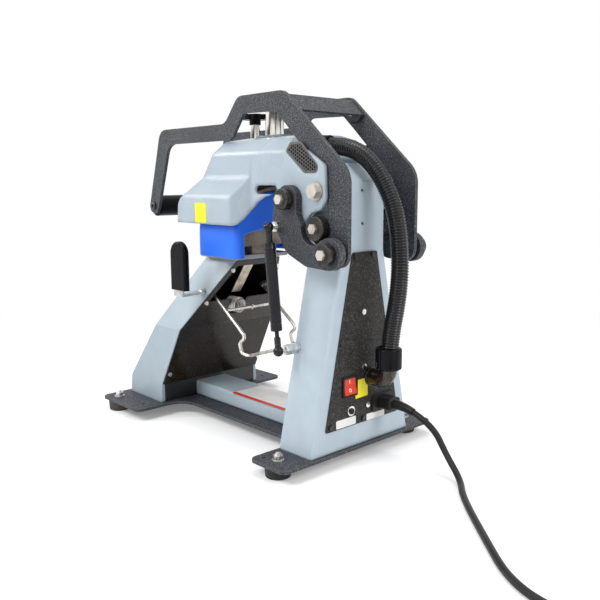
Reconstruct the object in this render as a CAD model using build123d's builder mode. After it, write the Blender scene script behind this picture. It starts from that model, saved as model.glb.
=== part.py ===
# Cap heat press: a leaning pedestal carries a saddle-shaped lower platen, and a column at the
# back carries the heated head and the handle arms that clamp it down through a toggle linkage.
# Frame: origin at the bottom centre, +Z up, +Y to the rear, +X to the operator's right. Millimetres.
import os
from math import cos, hypot, pi, radians, sin, tan

from build123d import *

os.makedirs("parts", exist_ok=True)

# Driving dimensions: base.
foot_r, foot_h = 20.0, 18.0
foot_bore_r = 6.0
plate_t = 5.0
base_half_w = 165.0
front_bar = (-285.0, -158.0)
rear_bar = (146.0, 222.0)
neck_half_w = 70.0
bar_corner_r, neck_corner_r = 12.0, 34.0
front_foot = (145.0, -256.0)
rear_foot = (140.0, 182.0)
stud_r, stud_hole_r = 4.0, 4.5
washer_r, washer_t = 9.0, 1.6
nut_flat, nut_t = 13.0, 6.5
stud_above_nut = 3.0
spare_hole_r = 3.3
front_spare_hole = (138.0, -184.0)
rear_spare_hole = (148.0, 160.0)
frame_bolt_r, frame_bolt_head_r, frame_bolt_head_h = 4.0, 6.5, 5.0

# Driving dimensions: sheet metal of the frame.
sheet_t = 3.0
cover_t = 2.0
spine_half_w, spine_h = 34.0, 27.0

# Driving dimensions: front pedestal, as (height, half width, front y, rear y).
ped_foot = (110.0, -274.0, -168.0)
ped_sill_z, ped_sill = 56.0, (108.0, -272.0, -168.0)
ped_waist_z, ped_waist = 162.0, (104.0, -188.0, -113.0)
ped_top_z, ped_top = 288.0, (46.0, -106.0, -22.0)
ped_flange = 12.0
ped_cover_low_z, ped_cover_high_z = 56.0, 284.0
recess_low_z, recess_high_z = 212.0, 275.0
spring_notch_half_w, spring_notch_z = 18.0, 182.0
cover_screw_up, cover_screw_in = (76.0, 211.0, 268.0), 6.5
strap_top, strap_low, strap_half_w, strap_t = (-41.0, 285.0), (-87.0, 222.0), 10.0, 3.0

# Driving dimensions: rear column.
col_front_y, col_rear_y = 146.0, 216.0
col_foot_half_w, col_top_half_w = 108.0, 45.0
col_knee_z, col_bend_z, col_top_z = 314.0, 415.0, 440.0
col_top_y = (172.0, 192.0)
col_cover_low_z, col_cover_high_z = 56.0, 313.0
col_cover_low_half_w, col_cover_high_half_w = 80.0, 26.0
col_window_rim = 12.0

# Driving dimensions: lower platen and its pulled-on cover.
top_plate_half_w, top_plate_t = 60.0, 6.0
top_plate_y = (-108.0, -14.0)
arch_z = 334.0
cover_half_w, cover_crown = 88.0, 66.0
cover_y = (-73.0, 31.0)
cover_drop_z = 294.0
cover_skin, cover_gap = 4.5, 0.3
cover_return, cover_mouth_rise = 15.0, 9.0
platen_low_z, platen_wall, platen_roof = 313.0, 12.0, 13.0
platen_web_half_w, platen_web_y = 20.0, (-58.0, -16.0)

# Driving dimensions: heated head.
head_wall = 4.0
wing_half_w, body_half_w, roof_half_w = 100.0, 79.5, 66.0
wing_low_z, wing_crease_z, shoulder_z, bevel_z, roof_z = 347.0, 390.0, 420.0, 458.0, 476.0
roof_flat_half_w, roof_top_z = 30.0, 482.0
wing_rear_y, wing_end_y, roof_rear_y = 29.0, 56.0, 139.0
rear_wall_low_z = 446.0
platen_gap, upper_platen_t = 0.6, 5.5
upper_platen_y = (-64.0, 27.0)
platen_lift = 6.0
lug_half_w, lug_y, lug_z, lug_bore_z = 22.0, (-39.0, -14.0), 438.0, 424.0
slot_y, slot_z, slot_h = (66.0, 116.0), 402.0, 13.0
grille_t, grille_hole, grille_web, grille_skin = 2.0, 3.8, 1.2, 0.5
grille_rim = 2.5

# Driving dimensions: pivots in the Y-Z plane (y, z).
H = (198.0, 400.0)
P = (202.0, 349.0)
U = (150.0, 389.0)
L = (234.0, 316.0)
shaft_r, run_clear = 10.0, 0.05
pin_r, open_pivot_clear = 7.0, 3.6
side_clear, shoulder_gap = 0.4, 0.3
arm_in_x, arm_t = 68.0, 6.0
link_t, link_in_x = 11.5, 80.5
collar_r, collar_t = 15.0, 12.0
boss_r, boss_t = 17.5, 13.6

# Driving dimensions: handle arms.
arm_low_z, arm_bar_z = 478.0, 503.5
bar_centre, bar_r = (-228.0, 371.5), 18.5
leg_half_w = 13.5
bar_wall = 3.0
arm_peak_z = 543.0

# Driving dimensions: pressure gear.
knob_y, knob_r, knob_t = -28.0, 20.0, 9.0
knob_z = 514.0
hub_r, hub_h = 9.5, 8.0
stem_r = 7.7
guide_y, guide_r, guide_top_z = 21.0, 15.0, 528.0
pad_y, pad_half_w, pad_t = (4.0, 66.0), 24.0, 4.0

# Driving dimensions: gas spring, ball centres as (y, z) at one x.
gas_x = 113.0
gas_top, gas_low = (135.0, 350.0), (154.0, 172.0)
ball_r, socket_r, socket_clear = 4.4, 7.5, 1.8
gas_tube_r, gas_tube_wall, gas_rod_r = 9.0, 1.6, 4.0
neck_r, low_neck, top_neck = 5.0, 22.0, 19.0
tube_start = 30.0
ball_stud_r = 4.0

# Driving dimensions: hold-down lever, bail and spring.
bail_axis = (-83.0, 229.0)
bail_half_w, wire_r, cross_wire_r = 57.0, 3.0, 2.5
bail_knee, bail_curl, bail_end = (9.0, 162.0), ((-7.0, 150.0), (-2.0, 134.0)), (15.0, 132.0)
bail_bend, stub_in = 6.0, 4.3
cross_wire_along = 0.43
hold_shaft_r, hold_shaft_out = 5.0, 80.0
lever_x, lever_w, lever_t = 124.0, 24.0, 4.0
grip_w, grip_t, grip_h = 41.0, 11.0, 80.0
grip_low, grip_back = 9.0, 4.0
spring_r, spring_wire_r, spring_turns, spring_pitch = 13.0, 1.1, 7, 4.3
spring_z, spring_rear_y = 199.0, -76.0
anchor_y = -122.0

# Driving dimensions: rear panel fittings, as (x, z).
switch_at, bezel, rocker = (31.0, 117.0), 31.0, 25.0
breaker_at, breaker_r, button_r = (30.0, 80.0), 7.5, 4.6
inlet_at, inlet_w, inlet_h = (-42.0, 80.0), 48.0, 27.0
elbow_at, elbow_r = (-16.0, 124.0), 13.0
gland_r, gland_h, gland_z = 20.5, 33.0, 141.0
nut_gap = 1.6
hose_r, hose_root_r, hose_bore_r, rib_pitch = 13.0, 11.4, 9.6, 4.0
hose_y = 252.0
fitting_at, fitting_r, fitting_l = (8.0, 465.0), 16.0, 16.0

# Driving dimensions: mains lead.
cord_r = 4.6
coil_at, coil_r, coil_gap, coil_turns = (224.0, 662.0), 58.0, 1.2, 2

floor_z = foot_h + plate_t
arm_out_x = arm_in_x + arm_t
link_out_x = link_in_x + link_t
body_in_x = body_half_w - head_wall


def slab(points, plane, amount, both=False, mode=Mode.ADD):
    """Extrude one straight-sided outline, given in the plane's own two directions."""
    with BuildSketch(plane) as drawn:
        with BuildLine():
            Polyline(*points, close=True)
        make_face()
    extrude(drawn.sketch, amount=amount, both=both, mode=mode)


def profile(points, plane, amount, both=False, mode=Mode.ADD):
    """Extrude one outline of (a, b, corner radius) points."""
    with BuildSketch(plane) as drawn:
        with BuildLine():
            Polyline(*[(a, b) for a, b, r in points], close=True)
        make_face()
        for a, b, r in points:
            if r:
                fillet(drawn.vertices().sort_by_distance(Vector(a, b))[0], r)
    extrude(drawn.sketch, amount=amount, both=both, mode=mode)


def inset(points, gap):
    """The outline drawn in by a gap with its corners kept sharp."""
    turn = sum(a[0] * b[1] - b[0] * a[1] for a, b in zip(points, points[1:] + points[:1]))
    side = 1 if turn > 0 else -1
    drawn = []
    for p, q, r in zip(points[-1:] + points[:-1], points, points[1:] + points[:1]):
        n1 = Vector(side * (p[1] - q[1]), side * (q[0] - p[0])).normalized()
        n2 = Vector(side * (q[1] - r[1]), side * (r[0] - q[0])).normalized()
        step = (n1 + n2) * (gap / (1 + n1.dot(n2)))
        drawn.append((q[0] + step.X, q[1] + step.Y))
    return drawn


def crossed(front, side, plan=None):
    """The solid that shows one outline from the front, one from the side and one from above."""
    with BuildPart() as body:
        slab(front, Plane.XZ, 400, both=True)
        slab(side, Plane.YZ, 300, both=True, mode=Mode.INTERSECT)
        if plan:
            slab(plan, Plane.XY, 900, both=True, mode=Mode.INTERSECT)
    return body.part


def mirrored(points):
    """An outline's right half, then the same points on the left."""
    return points + [(-x, z) for x, z in reversed(points)]


def rod_x(x0, x1, at, r, mode=Mode.ADD):
    """A round bar along X between two x values, centred on (y, z)."""
    with BuildSketch(Plane.YZ.offset(x0)) as drawn:
        with Locations(at):
            Circle(r)
    extrude(drawn.sketch, amount=x1 - x0, mode=mode)


def hex_x(x0, x1, at, flat, mode=Mode.ADD):
    """A hexagon bar along X between two x values, centred on (y, z)."""
    with BuildSketch(Plane.YZ.offset(x0)) as drawn:
        with Locations(at):
            RegularPolygon(flat / 2, 6, major_radius=False)
    extrude(drawn.sketch, amount=x1 - x0, mode=mode)


def rod_y(y0, y1, at, r, mode=Mode.ADD):
    """A round bar along Y between two y values, centred on (x, z)."""
    with BuildSketch(Plane.XZ.offset(-y0)) as drawn:
        with Locations(at):
            Circle(r)
    extrude(drawn.sketch, amount=-(y1 - y0), mode=mode)


def block(x, y, z, mode=Mode.ADD):
    """A box between pairs of x, y and z values."""
    with BuildSketch(Plane.XY.offset(z[0])) as drawn:
        with Locations(((x[0] + x[1]) / 2, (y[0] + y[1]) / 2)):
            Rectangle(x[1] - x[0], y[1] - y[0])
    extrude(drawn.sketch, amount=z[1] - z[0], mode=mode)


def wound_path(points, tangents):
    """Join points with pairs of arcs that share the tangents given at the points."""
    for p, q, s, t in zip(points, points[1:], tangents, tangents[1:]):
        v = q - p
        w = v.dot(s + t)
        d = v.dot(v) / (w + (w * w + 2 * (1 - s.dot(t)) * v.dot(v)) ** 0.5)
        m = (p + s * d + q - t * d) * 0.5
        TangentArc(p, m, tangent=s)
        TangentArc(m, q, tangent=((q - t * d) - (p + s * d)).normalized())


def least_gap(points, radius, skip):
    """The least clear gap of a tube to itself, measured on points along it."""
    gap = 1e9
    for i, a in enumerate(points):
        for b in points[i + skip:]:
            gap = min(gap, (a - b).length - 2 * radius)
    return gap


# Base plate: one H-shaped steel plate with a neck under the spine tube.
corner_feet = [(sx * x, y) for x, y in (front_foot, rear_foot) for sx in (1, -1)]
frame_bolts_at = [(sx * 88.0, y) for y in (-224.0, 196.0) for sx in (1, -1)]
frame_bolts_at += [(sx * 45.0, y) for y in (-184.0, 196.0) for sx in (1, -1)]
with BuildPart() as base_plate:
    with BuildSketch(Plane.XY.offset(foot_h)) as base_outline:
        for y0, y1 in (front_bar, rear_bar):
            with Locations((0, (y0 + y1) / 2)):
                RectangleRounded(2 * base_half_w, y1 - y0, bar_corner_r)
        with Locations((0, (front_bar[1] + rear_bar[0]) / 2)):
            Rectangle(2 * neck_half_w, rear_bar[0] - front_bar[1] + 4)
        inner = base_outline.vertices().filter_by(lambda v: abs(abs(v.X) - neck_half_w) < 0.01)
        fillet(inner.filter_by(lambda v: front_bar[0] < v.Y < rear_bar[1]), neck_corner_r)
        with Locations(*corner_feet):
            Circle(stud_hole_r, mode=Mode.SUBTRACT)
        with Locations(*frame_bolts_at):
            Circle(frame_bolt_r + 0.3, mode=Mode.SUBTRACT)
        for x, y in (front_spare_hole, rear_spare_hole):
            with Locations((x, y), (-x, y)):
                Circle(spare_hole_r, mode=Mode.SUBTRACT)
    extrude(amount=plate_t)
    top_rim = base_plate.faces().sort_by(Axis.Z)[-1].outer_wire().edges()
    chamfer(top_rim, 0.8)
base_plate.part.label = "base_plate"
export_step(base_plate.part, "parts/base_plate.step")

# Rubber feet, slightly tapered, with a bore round the stud head.
with BuildPart() as rubber_feet:
    with Locations(*[(x, y, 0) for x, y in corner_feet]):
        Cone(foot_r - 1.5, foot_r, foot_h, align=(Align.CENTER, Align.CENTER, Align.MIN))
        Cylinder(foot_bore_r, foot_h, align=(Align.CENTER, Align.CENTER, Align.MIN), mode=Mode.SUBTRACT)
    fillet(rubber_feet.edges().filter_by(GeomType.CIRCLE).group_by(Axis.Z)[0].filter_by(
        lambda e: e.radius > foot_bore_r + 1), 1.5)
rubber_feet.part.label = "rubber_feet"
export_step(rubber_feet.part, "parts/rubber_feet.step")

# Foot studs: a washer head in the foot's bore, a stud through the plate, then washer and nut.
with BuildPart() as foot_studs:
    nut_low = floor_z + washer_t
    for x, y in corner_feet:
        with Locations((x, y, 0)):
            with Locations((0, 0, foot_h - 6)):
                Cylinder(foot_bore_r, 6, align=(Align.CENTER, Align.CENTER, Align.MIN))
            with Locations((0, 0, foot_h)):
                Cylinder(stud_r, nut_low + nut_t + stud_above_nut - foot_h,
                         align=(Align.CENTER, Align.CENTER, Align.MIN))
            with Locations((0, 0, floor_z)):
                Cylinder(washer_r, washer_t, align=(Align.CENTER, Align.CENTER, Align.MIN))
        with BuildSketch(Plane.XY.offset(nut_low)):
            with Locations((x, y)):
                RegularPolygon(nut_flat / 2, 6, major_radius=False)
        extrude(amount=nut_t)
foot_studs.part.label = "foot_studs"
export_step(foot_studs.part, "parts/foot_studs.step")

# Bolts under the plate that hold the pedestal and the column, with weld nuts inside them.
with BuildPart() as frame_bolts:
    for x, y in frame_bolts_at:
        with Locations((x, y, foot_h - frame_bolt_head_h)):
            Cylinder(frame_bolt_head_r, frame_bolt_head_h, align=(Align.CENTER, Align.CENTER, Align.MIN))
        with Locations((x, y, foot_h)):
            Cylinder(frame_bolt_r, plate_t + sheet_t + 8, align=(Align.CENTER, Align.CENTER, Align.MIN))
        with BuildSketch(Plane.XY.offset(floor_z + sheet_t)):
            with Locations((x, y)):
                RegularPolygon(nut_flat / 2, 6, major_radius=False)
        extrude(amount=nut_t)
frame_bolts.part.label = "frame_bolts"
export_step(frame_bolts.part, "parts/frame_bolts.step")

# Spine: a shallow box tube from the pedestal to the column.
with BuildPart() as spine_tube:
    with BuildSketch(Plane.XZ.offset(-ped_foot[2])):
        with Locations((0, floor_z + spine_h / 2)):
            RectangleRounded(2 * spine_half_w, spine_h, 4)
            RectangleRounded(2 * (spine_half_w - sheet_t), spine_h - 2 * sheet_t, 1, mode=Mode.SUBTRACT)
    extrude(amount=-(col_front_y - ped_foot[2]))
spine_tube.part.label = "spine_tube"
export_step(spine_tube.part, "parts/spine_tube.step")

# Front pedestal: the front view and the side view of a leaning box cut each other.
ped_z = (floor_z, ped_sill_z, ped_waist_z, ped_top_z)
ped_rows = (ped_foot, ped_sill, ped_waist, ped_top)
ped_front_view = mirrored([(row[0], z) for z, row in zip(ped_z, ped_rows)])
ped_side_view = [(row[1], z) for z, row in zip(ped_z, ped_rows)]
ped_side_view += [(row[2], z) for z, row in reversed(list(zip(ped_z, ped_rows)))]


def ped_at(z):
    """The pedestal's half width, front y and rear y at a height above its sill."""
    low, high = (1, 2) if z < ped_waist_z else (2, 3)
    t = (z - ped_z[low]) / (ped_z[high] - ped_z[low])
    return [a + t * (b - a) for a, b in zip(ped_rows[low], ped_rows[high])]


def ped_window(low, high, rim):
    """An outline on the pedestal's rear face between two heights, with a rim left at the sides."""
    heights = [low] + [ped_waist_z] * (low < ped_waist_z < high) + [high]
    return mirrored([(ped_at(z)[0] - rim, z) for z in heights])


spring_notch_x = (-spring_notch_half_w, spring_notch_half_w)
with BuildPart() as pedestal_shell:
    add(crossed(ped_front_view, ped_side_view))
    add(crossed(inset(ped_front_view, sheet_t), inset(ped_side_view, sheet_t)), mode=Mode.SUBTRACT)
    # The rear wall is open behind the cover's lower panel and in the recess above it.
    for low, high, y in ((ped_sill_z + 14, recess_low_z - 12, -130), (recess_low_z, recess_high_z, -105)):
        slab(ped_window(low, high, ped_flange), Plane.XZ.offset(-y), y - ped_top[2], False, Mode.SUBTRACT)
    block(spring_notch_x, (-105, 0), (spring_notch_z, recess_high_z), Mode.SUBTRACT)
    # The bail's stubs run through both sides, and bolts come up through the floor.
    rod_x(-130, 130, bail_axis, hold_shaft_r + run_clear, Mode.SUBTRACT)
    with Locations(*[(x, y, floor_z) for x, y in frame_bolts_at if y < 0]):
        Cylinder(frame_bolt_r, 3 * sheet_t, mode=Mode.SUBTRACT)
pedestal_shell.part.label = "pedestal_shell"
export_step(pedestal_shell.part, "parts/pedestal_shell.step")

# Pedestal cover: a folded black sheet on the rear face, solid below and open round the recess.
cover_screws_on_ped = [(side * (ped_at(z)[0] - cover_screw_in), z) for z in cover_screw_up
                       for side in (1, -1)]
with BuildPart() as pedestal_cover:
    heights = (ped_cover_low_z, ped_waist_z, ped_cover_high_z)
    inner_edge = [(ped_at(z)[2], z) for z in heights]
    slab(inner_edge + [(y + cover_t, z) for y, z in reversed(inner_edge)], Plane.YZ, 150, both=True)
    slab(ped_window(ped_cover_low_z, ped_cover_high_z, 1.0), Plane.XZ, 300, both=True, mode=Mode.INTERSECT)
    slab(ped_window(recess_low_z, recess_high_z, ped_flange), Plane.XZ, 300, both=True, mode=Mode.SUBTRACT)
    block(spring_notch_x, (-130, 0), (spring_notch_z, recess_high_z), Mode.SUBTRACT)
    for x, z in cover_screws_on_ped:
        rod_y(-300, 0, (x, z), 2.0, Mode.SUBTRACT)
pedestal_cover.part.label = "pedestal_cover"
export_step(pedestal_cover.part, "parts/pedestal_cover.step")

# Screws of the pedestal cover: a shank in the cover's hole under a low head.
with BuildPart() as pedestal_screws:
    for x, z in cover_screws_on_ped:
        y = ped_at(z)[2]
        rod_y(y, y + cover_t + 1.4, (x, z), 2.0)
        rod_y(y + cover_t + 1.4, y + cover_t + 4.2, (x, z), 3.6)
    add(pedestal_cover.part, mode=Mode.SUBTRACT)
    # What lies in front of the cover's inner face is cut away.
    before_cover = [(-300, 20)] + inner_edge + [(ped_at(300)[2], 300), (-300, 300)]
    slab(before_cover, Plane.YZ, 150, True, Mode.SUBTRACT)
pedestal_screws.part.label = "pedestal_screws"
export_step(pedestal_screws.part, "parts/pedestal_screws.step")

# Strap: a flat steel bar that hangs from the pedestal's roof and ends beside the bail spring.
with BuildPart() as spring_strap:
    lean = hypot(strap_top[0] - strap_low[0], strap_top[1] - strap_low[1])
    rise = strap_t * lean / (strap_top[1] - strap_low[1])
    slab([strap_low, strap_top, (strap_top[0] - rise, strap_top[1]), (strap_low[0] - rise, strap_low[1])],
         Plane.YZ, strap_half_w, both=True)
spring_strap.part.label = "spring_strap"
export_step(spring_strap.part, "parts/spring_strap.step")

# Spring anchor: an eye bolt through the pedestal's front wall, its ring standing in the Y-Z plane.
anchor_ring_r, anchor_wire_r = 5.0, 1.6
with BuildPart() as spring_anchor:
    rod_y(ped_at(spring_z)[1] + sheet_t, anchor_y - anchor_ring_r, (0, spring_z), 3.0)
    add(pedestal_shell.part, mode=Mode.SUBTRACT)
    with Locations(Location((0, anchor_y, spring_z), (0, 90, 0))):
        Torus(anchor_ring_r, anchor_wire_r)
spring_anchor.part.label = "spring_anchor"
export_step(spring_anchor.part, "parts/spring_anchor.step")

# Top plate of the pedestal.
with BuildPart() as pedestal_top_plate:
    block((-top_plate_half_w, top_plate_half_w), top_plate_y, (ped_top_z, ped_top_z + top_plate_t))
    fillet(pedestal_top_plate.edges().filter_by(Axis.Z), 5)
pedestal_top_plate.part.label = "pedestal_top_plate"
export_step(pedestal_top_plate.part, "parts/pedestal_top_plate.step")


def saddle(half_w, crown, low_z, y0, y1, mode=Mode.ADD):
    """A half ellipse over straight legs, from one y to another."""
    with BuildSketch(Plane.XZ.offset(-y0)) as drawn:
        with Locations((0, arch_z)):
            Ellipse(half_w, crown)
        with Locations((0, arch_z - 100)):
            Rectangle(2 * half_w + 2, 200, mode=Mode.SUBTRACT)
        with Locations((0, (arch_z + low_z) / 2)):
            Rectangle(2 * half_w, arch_z - low_z)
    extrude(drawn.sketch, amount=-(y1 - y0), mode=mode)


# Lower platen: a cast saddle, hollow from below, on a web that stands on the top plate.
platen_half_w = cover_half_w - cover_skin - cover_gap
platen_crown = cover_crown - cover_skin - cover_gap
platen_y = (cover_y[0] + cover_skin + cover_gap, cover_y[1] - cover_skin - cover_gap)
with BuildPart() as lower_platen:
    saddle(platen_half_w, platen_crown, platen_low_z, *platen_y)
    saddle(platen_half_w - platen_wall, platen_crown - platen_roof, platen_low_z,
           platen_y[0] + platen_wall, platen_y[1] - platen_wall, Mode.SUBTRACT)
    block((-platen_web_half_w, platen_web_half_w), platen_web_y,
          (ped_top_z + top_plate_t, arch_z + platen_crown - platen_roof - 4))
    saddle(platen_half_w, platen_crown, ped_top_z + top_plate_t, *platen_y, Mode.INTERSECT)
lower_platen.part.label = "lower_platen"
export_step(lower_platen.part, "parts/lower_platen.step")

# Platen cover: a rubber sleeve with closed ends, a mouth at the rear and skirts below the platen.
with BuildPart() as platen_cover:
    saddle(cover_half_w, cover_crown, cover_drop_z, *cover_y)
    ends = platen_cover.faces().filter_by(Axis.Y)
    fillet(ends.sort_by(Axis.Y)[0].edges().filter_by(lambda e: e.center().Z > cover_drop_z + 1), 6)
    fillet(platen_cover.faces().filter_by(Axis.Y).sort_by(Axis.Y)[-1].edges().filter_by(
        lambda e: e.center().Z > cover_drop_z + 1), 10)
    saddle(platen_half_w + cover_gap, platen_crown + cover_gap, cover_drop_z,
           platen_y[0] - cover_gap, platen_y[1] + cover_gap, Mode.SUBTRACT)
    # The rear mouth is straight-sided below the springing line, with a shallow arch above it.
    mouth_half_w = cover_half_w - cover_return
    with BuildSketch(Plane.XZ.offset(-platen_y[1])):
        with BuildLine():
            Line((mouth_half_w, cover_drop_z), (mouth_half_w, arch_z - 3))
            ThreePointArc((mouth_half_w, arch_z - 3), (0, arch_z - 3 + cover_mouth_rise),
                          (-mouth_half_w, arch_z - 3))
            Line((-mouth_half_w, arch_z - 3), (-mouth_half_w, cover_drop_z))
            Line((-mouth_half_w, cover_drop_z), (mouth_half_w, cover_drop_z))
        make_face()
    extrude(amount=-40, mode=Mode.SUBTRACT)
platen_cover.part.label = "platen_cover"
export_step(platen_cover.part, "parts/platen_cover.step")

# Rear column: front and side outlines of a tapering box cross, and its upright edges are rounded.
col_front_view = mirrored([(col_foot_half_w, floor_z), (col_top_half_w, col_knee_z),
                           (col_top_half_w, col_top_z)])
col_side_view = [(col_front_y, floor_z), (col_rear_y, floor_z), (col_rear_y, col_bend_z),
                 (col_top_y[1], col_top_z), (col_top_y[0], col_top_z), (col_front_y, H[1])]

with BuildPart() as column_block:
    add(crossed(col_front_view, col_side_view))
    upright = column_block.edges().filter_by(lambda e: abs((e @ 1 - e @ 0).Z) > 80)
    fillet(upright, 5)
col_cover_outline = mirrored([(col_cover_low_half_w, col_cover_low_z),
                              (col_cover_high_half_w, col_cover_high_z)])
with BuildPart() as column:
    add(column_block.part)
    add(crossed(inset(col_front_view, sheet_t), inset(col_side_view, sheet_t)), mode=Mode.SUBTRACT)
    slab(inset(col_cover_outline, col_window_rim), Plane.XZ.offset(-col_rear_y + 10), -20, mode=Mode.SUBTRACT)
    rod_x(-60, 60, P, shaft_r + 1, Mode.SUBTRACT)
    rod_x(-60, 60, H, shaft_r, Mode.SUBTRACT)
    rod_x(40, 120, gas_low, ball_stud_r, Mode.SUBTRACT)
    for x, z in ((5, H[1] + 1), (4, P[1] + 5)):
        rod_y(col_rear_y - 10, col_rear_y + 5, (x, z), 2.4, Mode.SUBTRACT)
    with Locations(*[(x, y, floor_z) for x, y in frame_bolts_at if y > 0]):
        Cylinder(frame_bolt_r, 3 * sheet_t, mode=Mode.SUBTRACT)
column.part.label = "column"
export_step(column.part, "parts/column.step")

# Rear cover of the column with the cut-outs of its fittings.
back_y = col_rear_y + cover_t
switch_body = bezel - 3.0
inlet_body_w, inlet_body_h = inlet_w - 20, inlet_h - 4
elbow_bore_r = 10.0
edge_screws = ((21, 308), (-17, 308), (48, 184), (70, 63), (-70, 63), (-47, 184), (0.5, 61.5))
panel_screws = ((3, 225), (1, 142.5), (-8, 81.5))
with BuildPart() as rear_cover:
    slab(col_cover_outline, Plane.XZ.offset(-col_rear_y), -cover_t)
    fillet(rear_cover.edges().filter_by(Axis.Y), 3)
    with BuildSketch(Plane.XZ.offset(-col_rear_y)):
        with Locations(switch_at):
            Rectangle(switch_body, switch_body)
        with Locations(inlet_at):
            Rectangle(inlet_body_w, inlet_body_h)
        with Locations(breaker_at):
            Circle(breaker_r - 1.5)
        with Locations(elbow_at):
            Circle(elbow_bore_r)
        with Locations(*edge_screws, *panel_screws):
            Circle(2.0)
    extrude(amount=-cover_t, mode=Mode.SUBTRACT)
rear_cover.part.label = "rear_cover"
export_step(rear_cover.part, "parts/rear_cover.step")

# Screws of the rear cover: those in the middle of the panel have a nut behind it.
with BuildPart() as cover_screws:
    for at in edge_screws + panel_screws:
        rod_y(col_rear_y, back_y, at, 2.0)
        rod_y(back_y, back_y + 2.6, at, 4.2)
    for x, z in panel_screws:
        rod_y(col_rear_y - 4, col_rear_y, (x, z), 3.6)
cover_screws.part.label = "cover_screws"
export_step(cover_screws.part, "parts/cover_screws.step")

# Switch housing: a square bezel on the cover and a box behind it, open to the front for the rocker.
rocker_gap = 0.3
rocker_pin_r, rocker_pin_out, rocker_y = 1.2, 1.0, back_y + 0.5
switch_z = switch_at[1]
bezel_t, switch_depth = 2.5, 20.0
with BuildPart() as switch_housing:
    with BuildSketch(Plane.XZ.offset(-back_y)):
        with Locations(switch_at):
            RectangleRounded(bezel, bezel, 2)
    extrude(amount=-bezel_t)
    with BuildSketch(Plane.XZ.offset(-back_y)):
        with Locations(switch_at):
            Rectangle(switch_body, switch_body)
    extrude(amount=switch_depth)
    with BuildSketch(Plane.XZ.offset(-back_y - bezel_t)):
        with Locations(switch_at):
            Rectangle(rocker + 2 * rocker_gap, rocker + 2 * rocker_gap)
    extrude(amount=switch_depth + bezel_t - 1.5, mode=Mode.SUBTRACT)
    hole_x = rocker / 2 + rocker_pin_out + 0.2
    rod_x(switch_at[0] - hole_x, switch_at[0] + hole_x, (rocker_y, switch_z), rocker_pin_r + run_clear,
          Mode.SUBTRACT)
switch_housing.part.label = "switch_housing"
export_step(switch_housing.part, "parts/switch_housing.step")

# Rocker: a shallow V seen from the side, at rest with its upper half pressed in, on two short pins.
rocker_tilt, rocker_reach = 8.0, rocker / 2 - 0.5
with BuildPart() as rocker_part:
    flat = rocker_reach * cos(radians(rocker_tilt))
    v = [(rocker_y - 4, switch_z - flat), (rocker_y + 1.8, switch_z - flat), (rocker_y + 0.6, switch_z),
         (rocker_y + 1.8, switch_z + flat), (rocker_y - 4, switch_z + flat)]
    slab(v, Plane.YZ.offset(switch_at[0]), rocker / 2, both=True)
    with BuildSketch(Plane.YZ.offset(switch_at[0])):
        with Locations((rocker_y - 6, switch_z)):
            Rectangle(6, 7)
    extrude(amount=rocker / 2 - 3, both=True)
    pin_x = rocker / 2 + rocker_pin_out
    rod_x(switch_at[0] - pin_x, switch_at[0] + pin_x, (rocker_y, switch_z), rocker_pin_r)
rocker_rest = rocker_part.part.rotate(Axis((0, rocker_y, switch_z), (1, 0, 0)), rocker_tilt)
rocker_rest.label = "power_rocker"
export_step(rocker_rest, "parts/power_rocker.step")

# Breaker: a ringed barrel through the cover with a plunger button in its bore.
button_out, button_in = 6.0, 12.0
with BuildPart() as breaker_barrel:
    rod_y(back_y, back_y + 3.5, breaker_at, breaker_r)
    rod_y(back_y - 20, back_y, breaker_at, breaker_r - 1.5)
    rod_y(back_y - 18, back_y + 4, breaker_at, button_r + run_clear, Mode.SUBTRACT)
breaker_barrel.part.label = "breaker_barrel"
export_step(breaker_barrel.part, "parts/breaker_barrel.step")

with BuildPart() as breaker_button:
    rod_y(back_y - button_in, back_y + button_out, breaker_at, button_r)
    fillet(breaker_button.edges().sort_by(Axis.Y)[-1], 1)
breaker_button.part.label = "breaker_button"
export_step(breaker_button.part, "parts/breaker_button.step")

# Power inlet: a flange with a screw at each end and a deep socket with three flat pins.
inlet_flange_t, socket_depth = 2.5, 15.0
nose_w, nose_h, nose_gap = 22.6, 14.6, 0.4
with BuildPart() as power_inlet:
    with BuildSketch(Plane.XZ.offset(-back_y)):
        with Locations(inlet_at):
            RectangleRounded(inlet_w, inlet_h, 4)
    extrude(amount=-inlet_flange_t)
    with BuildSketch(Plane.XZ.offset(-back_y)):
        with Locations(inlet_at):
            Rectangle(inlet_body_w, inlet_body_h)
    extrude(amount=socket_depth + 3)
    with BuildSketch(Plane.XZ.offset(-back_y - inlet_flange_t)):
        with Locations(inlet_at):
            Rectangle(nose_w + 2 * nose_gap, nose_h + 2 * nose_gap)
    extrude(amount=socket_depth + inlet_flange_t, mode=Mode.SUBTRACT)
    for side in (1, -1):
        at = (inlet_at[0] + side * (inlet_w / 2 - 5), inlet_at[1])
        rod_y(back_y + inlet_flange_t, back_y + inlet_flange_t + 1.2, at, 3.0)
power_inlet.part.label = "power_inlet"
export_step(power_inlet.part, "parts/power_inlet.step")

# Pivot shafts fixed in the column, with a spacer on each side up to the arm or the ear.
boss_x = arm_out_x + side_clear
with BuildPart() as pivot_shaft:
    rod_x(-boss_x, boss_x, P, shaft_r + 1)
pivot_shaft.part.label = "pivot_shaft"
export_step(pivot_shaft.part, "parts/pivot_shaft.step")

ear_out_x = body_half_w
with BuildPart() as hinge_shaft:
    rod_x(-ear_out_x - side_clear, ear_out_x + side_clear, H, shaft_r)
hinge_shaft.part.label = "hinge_shaft"
export_step(hinge_shaft.part, "parts/hinge_shaft.step")

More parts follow.
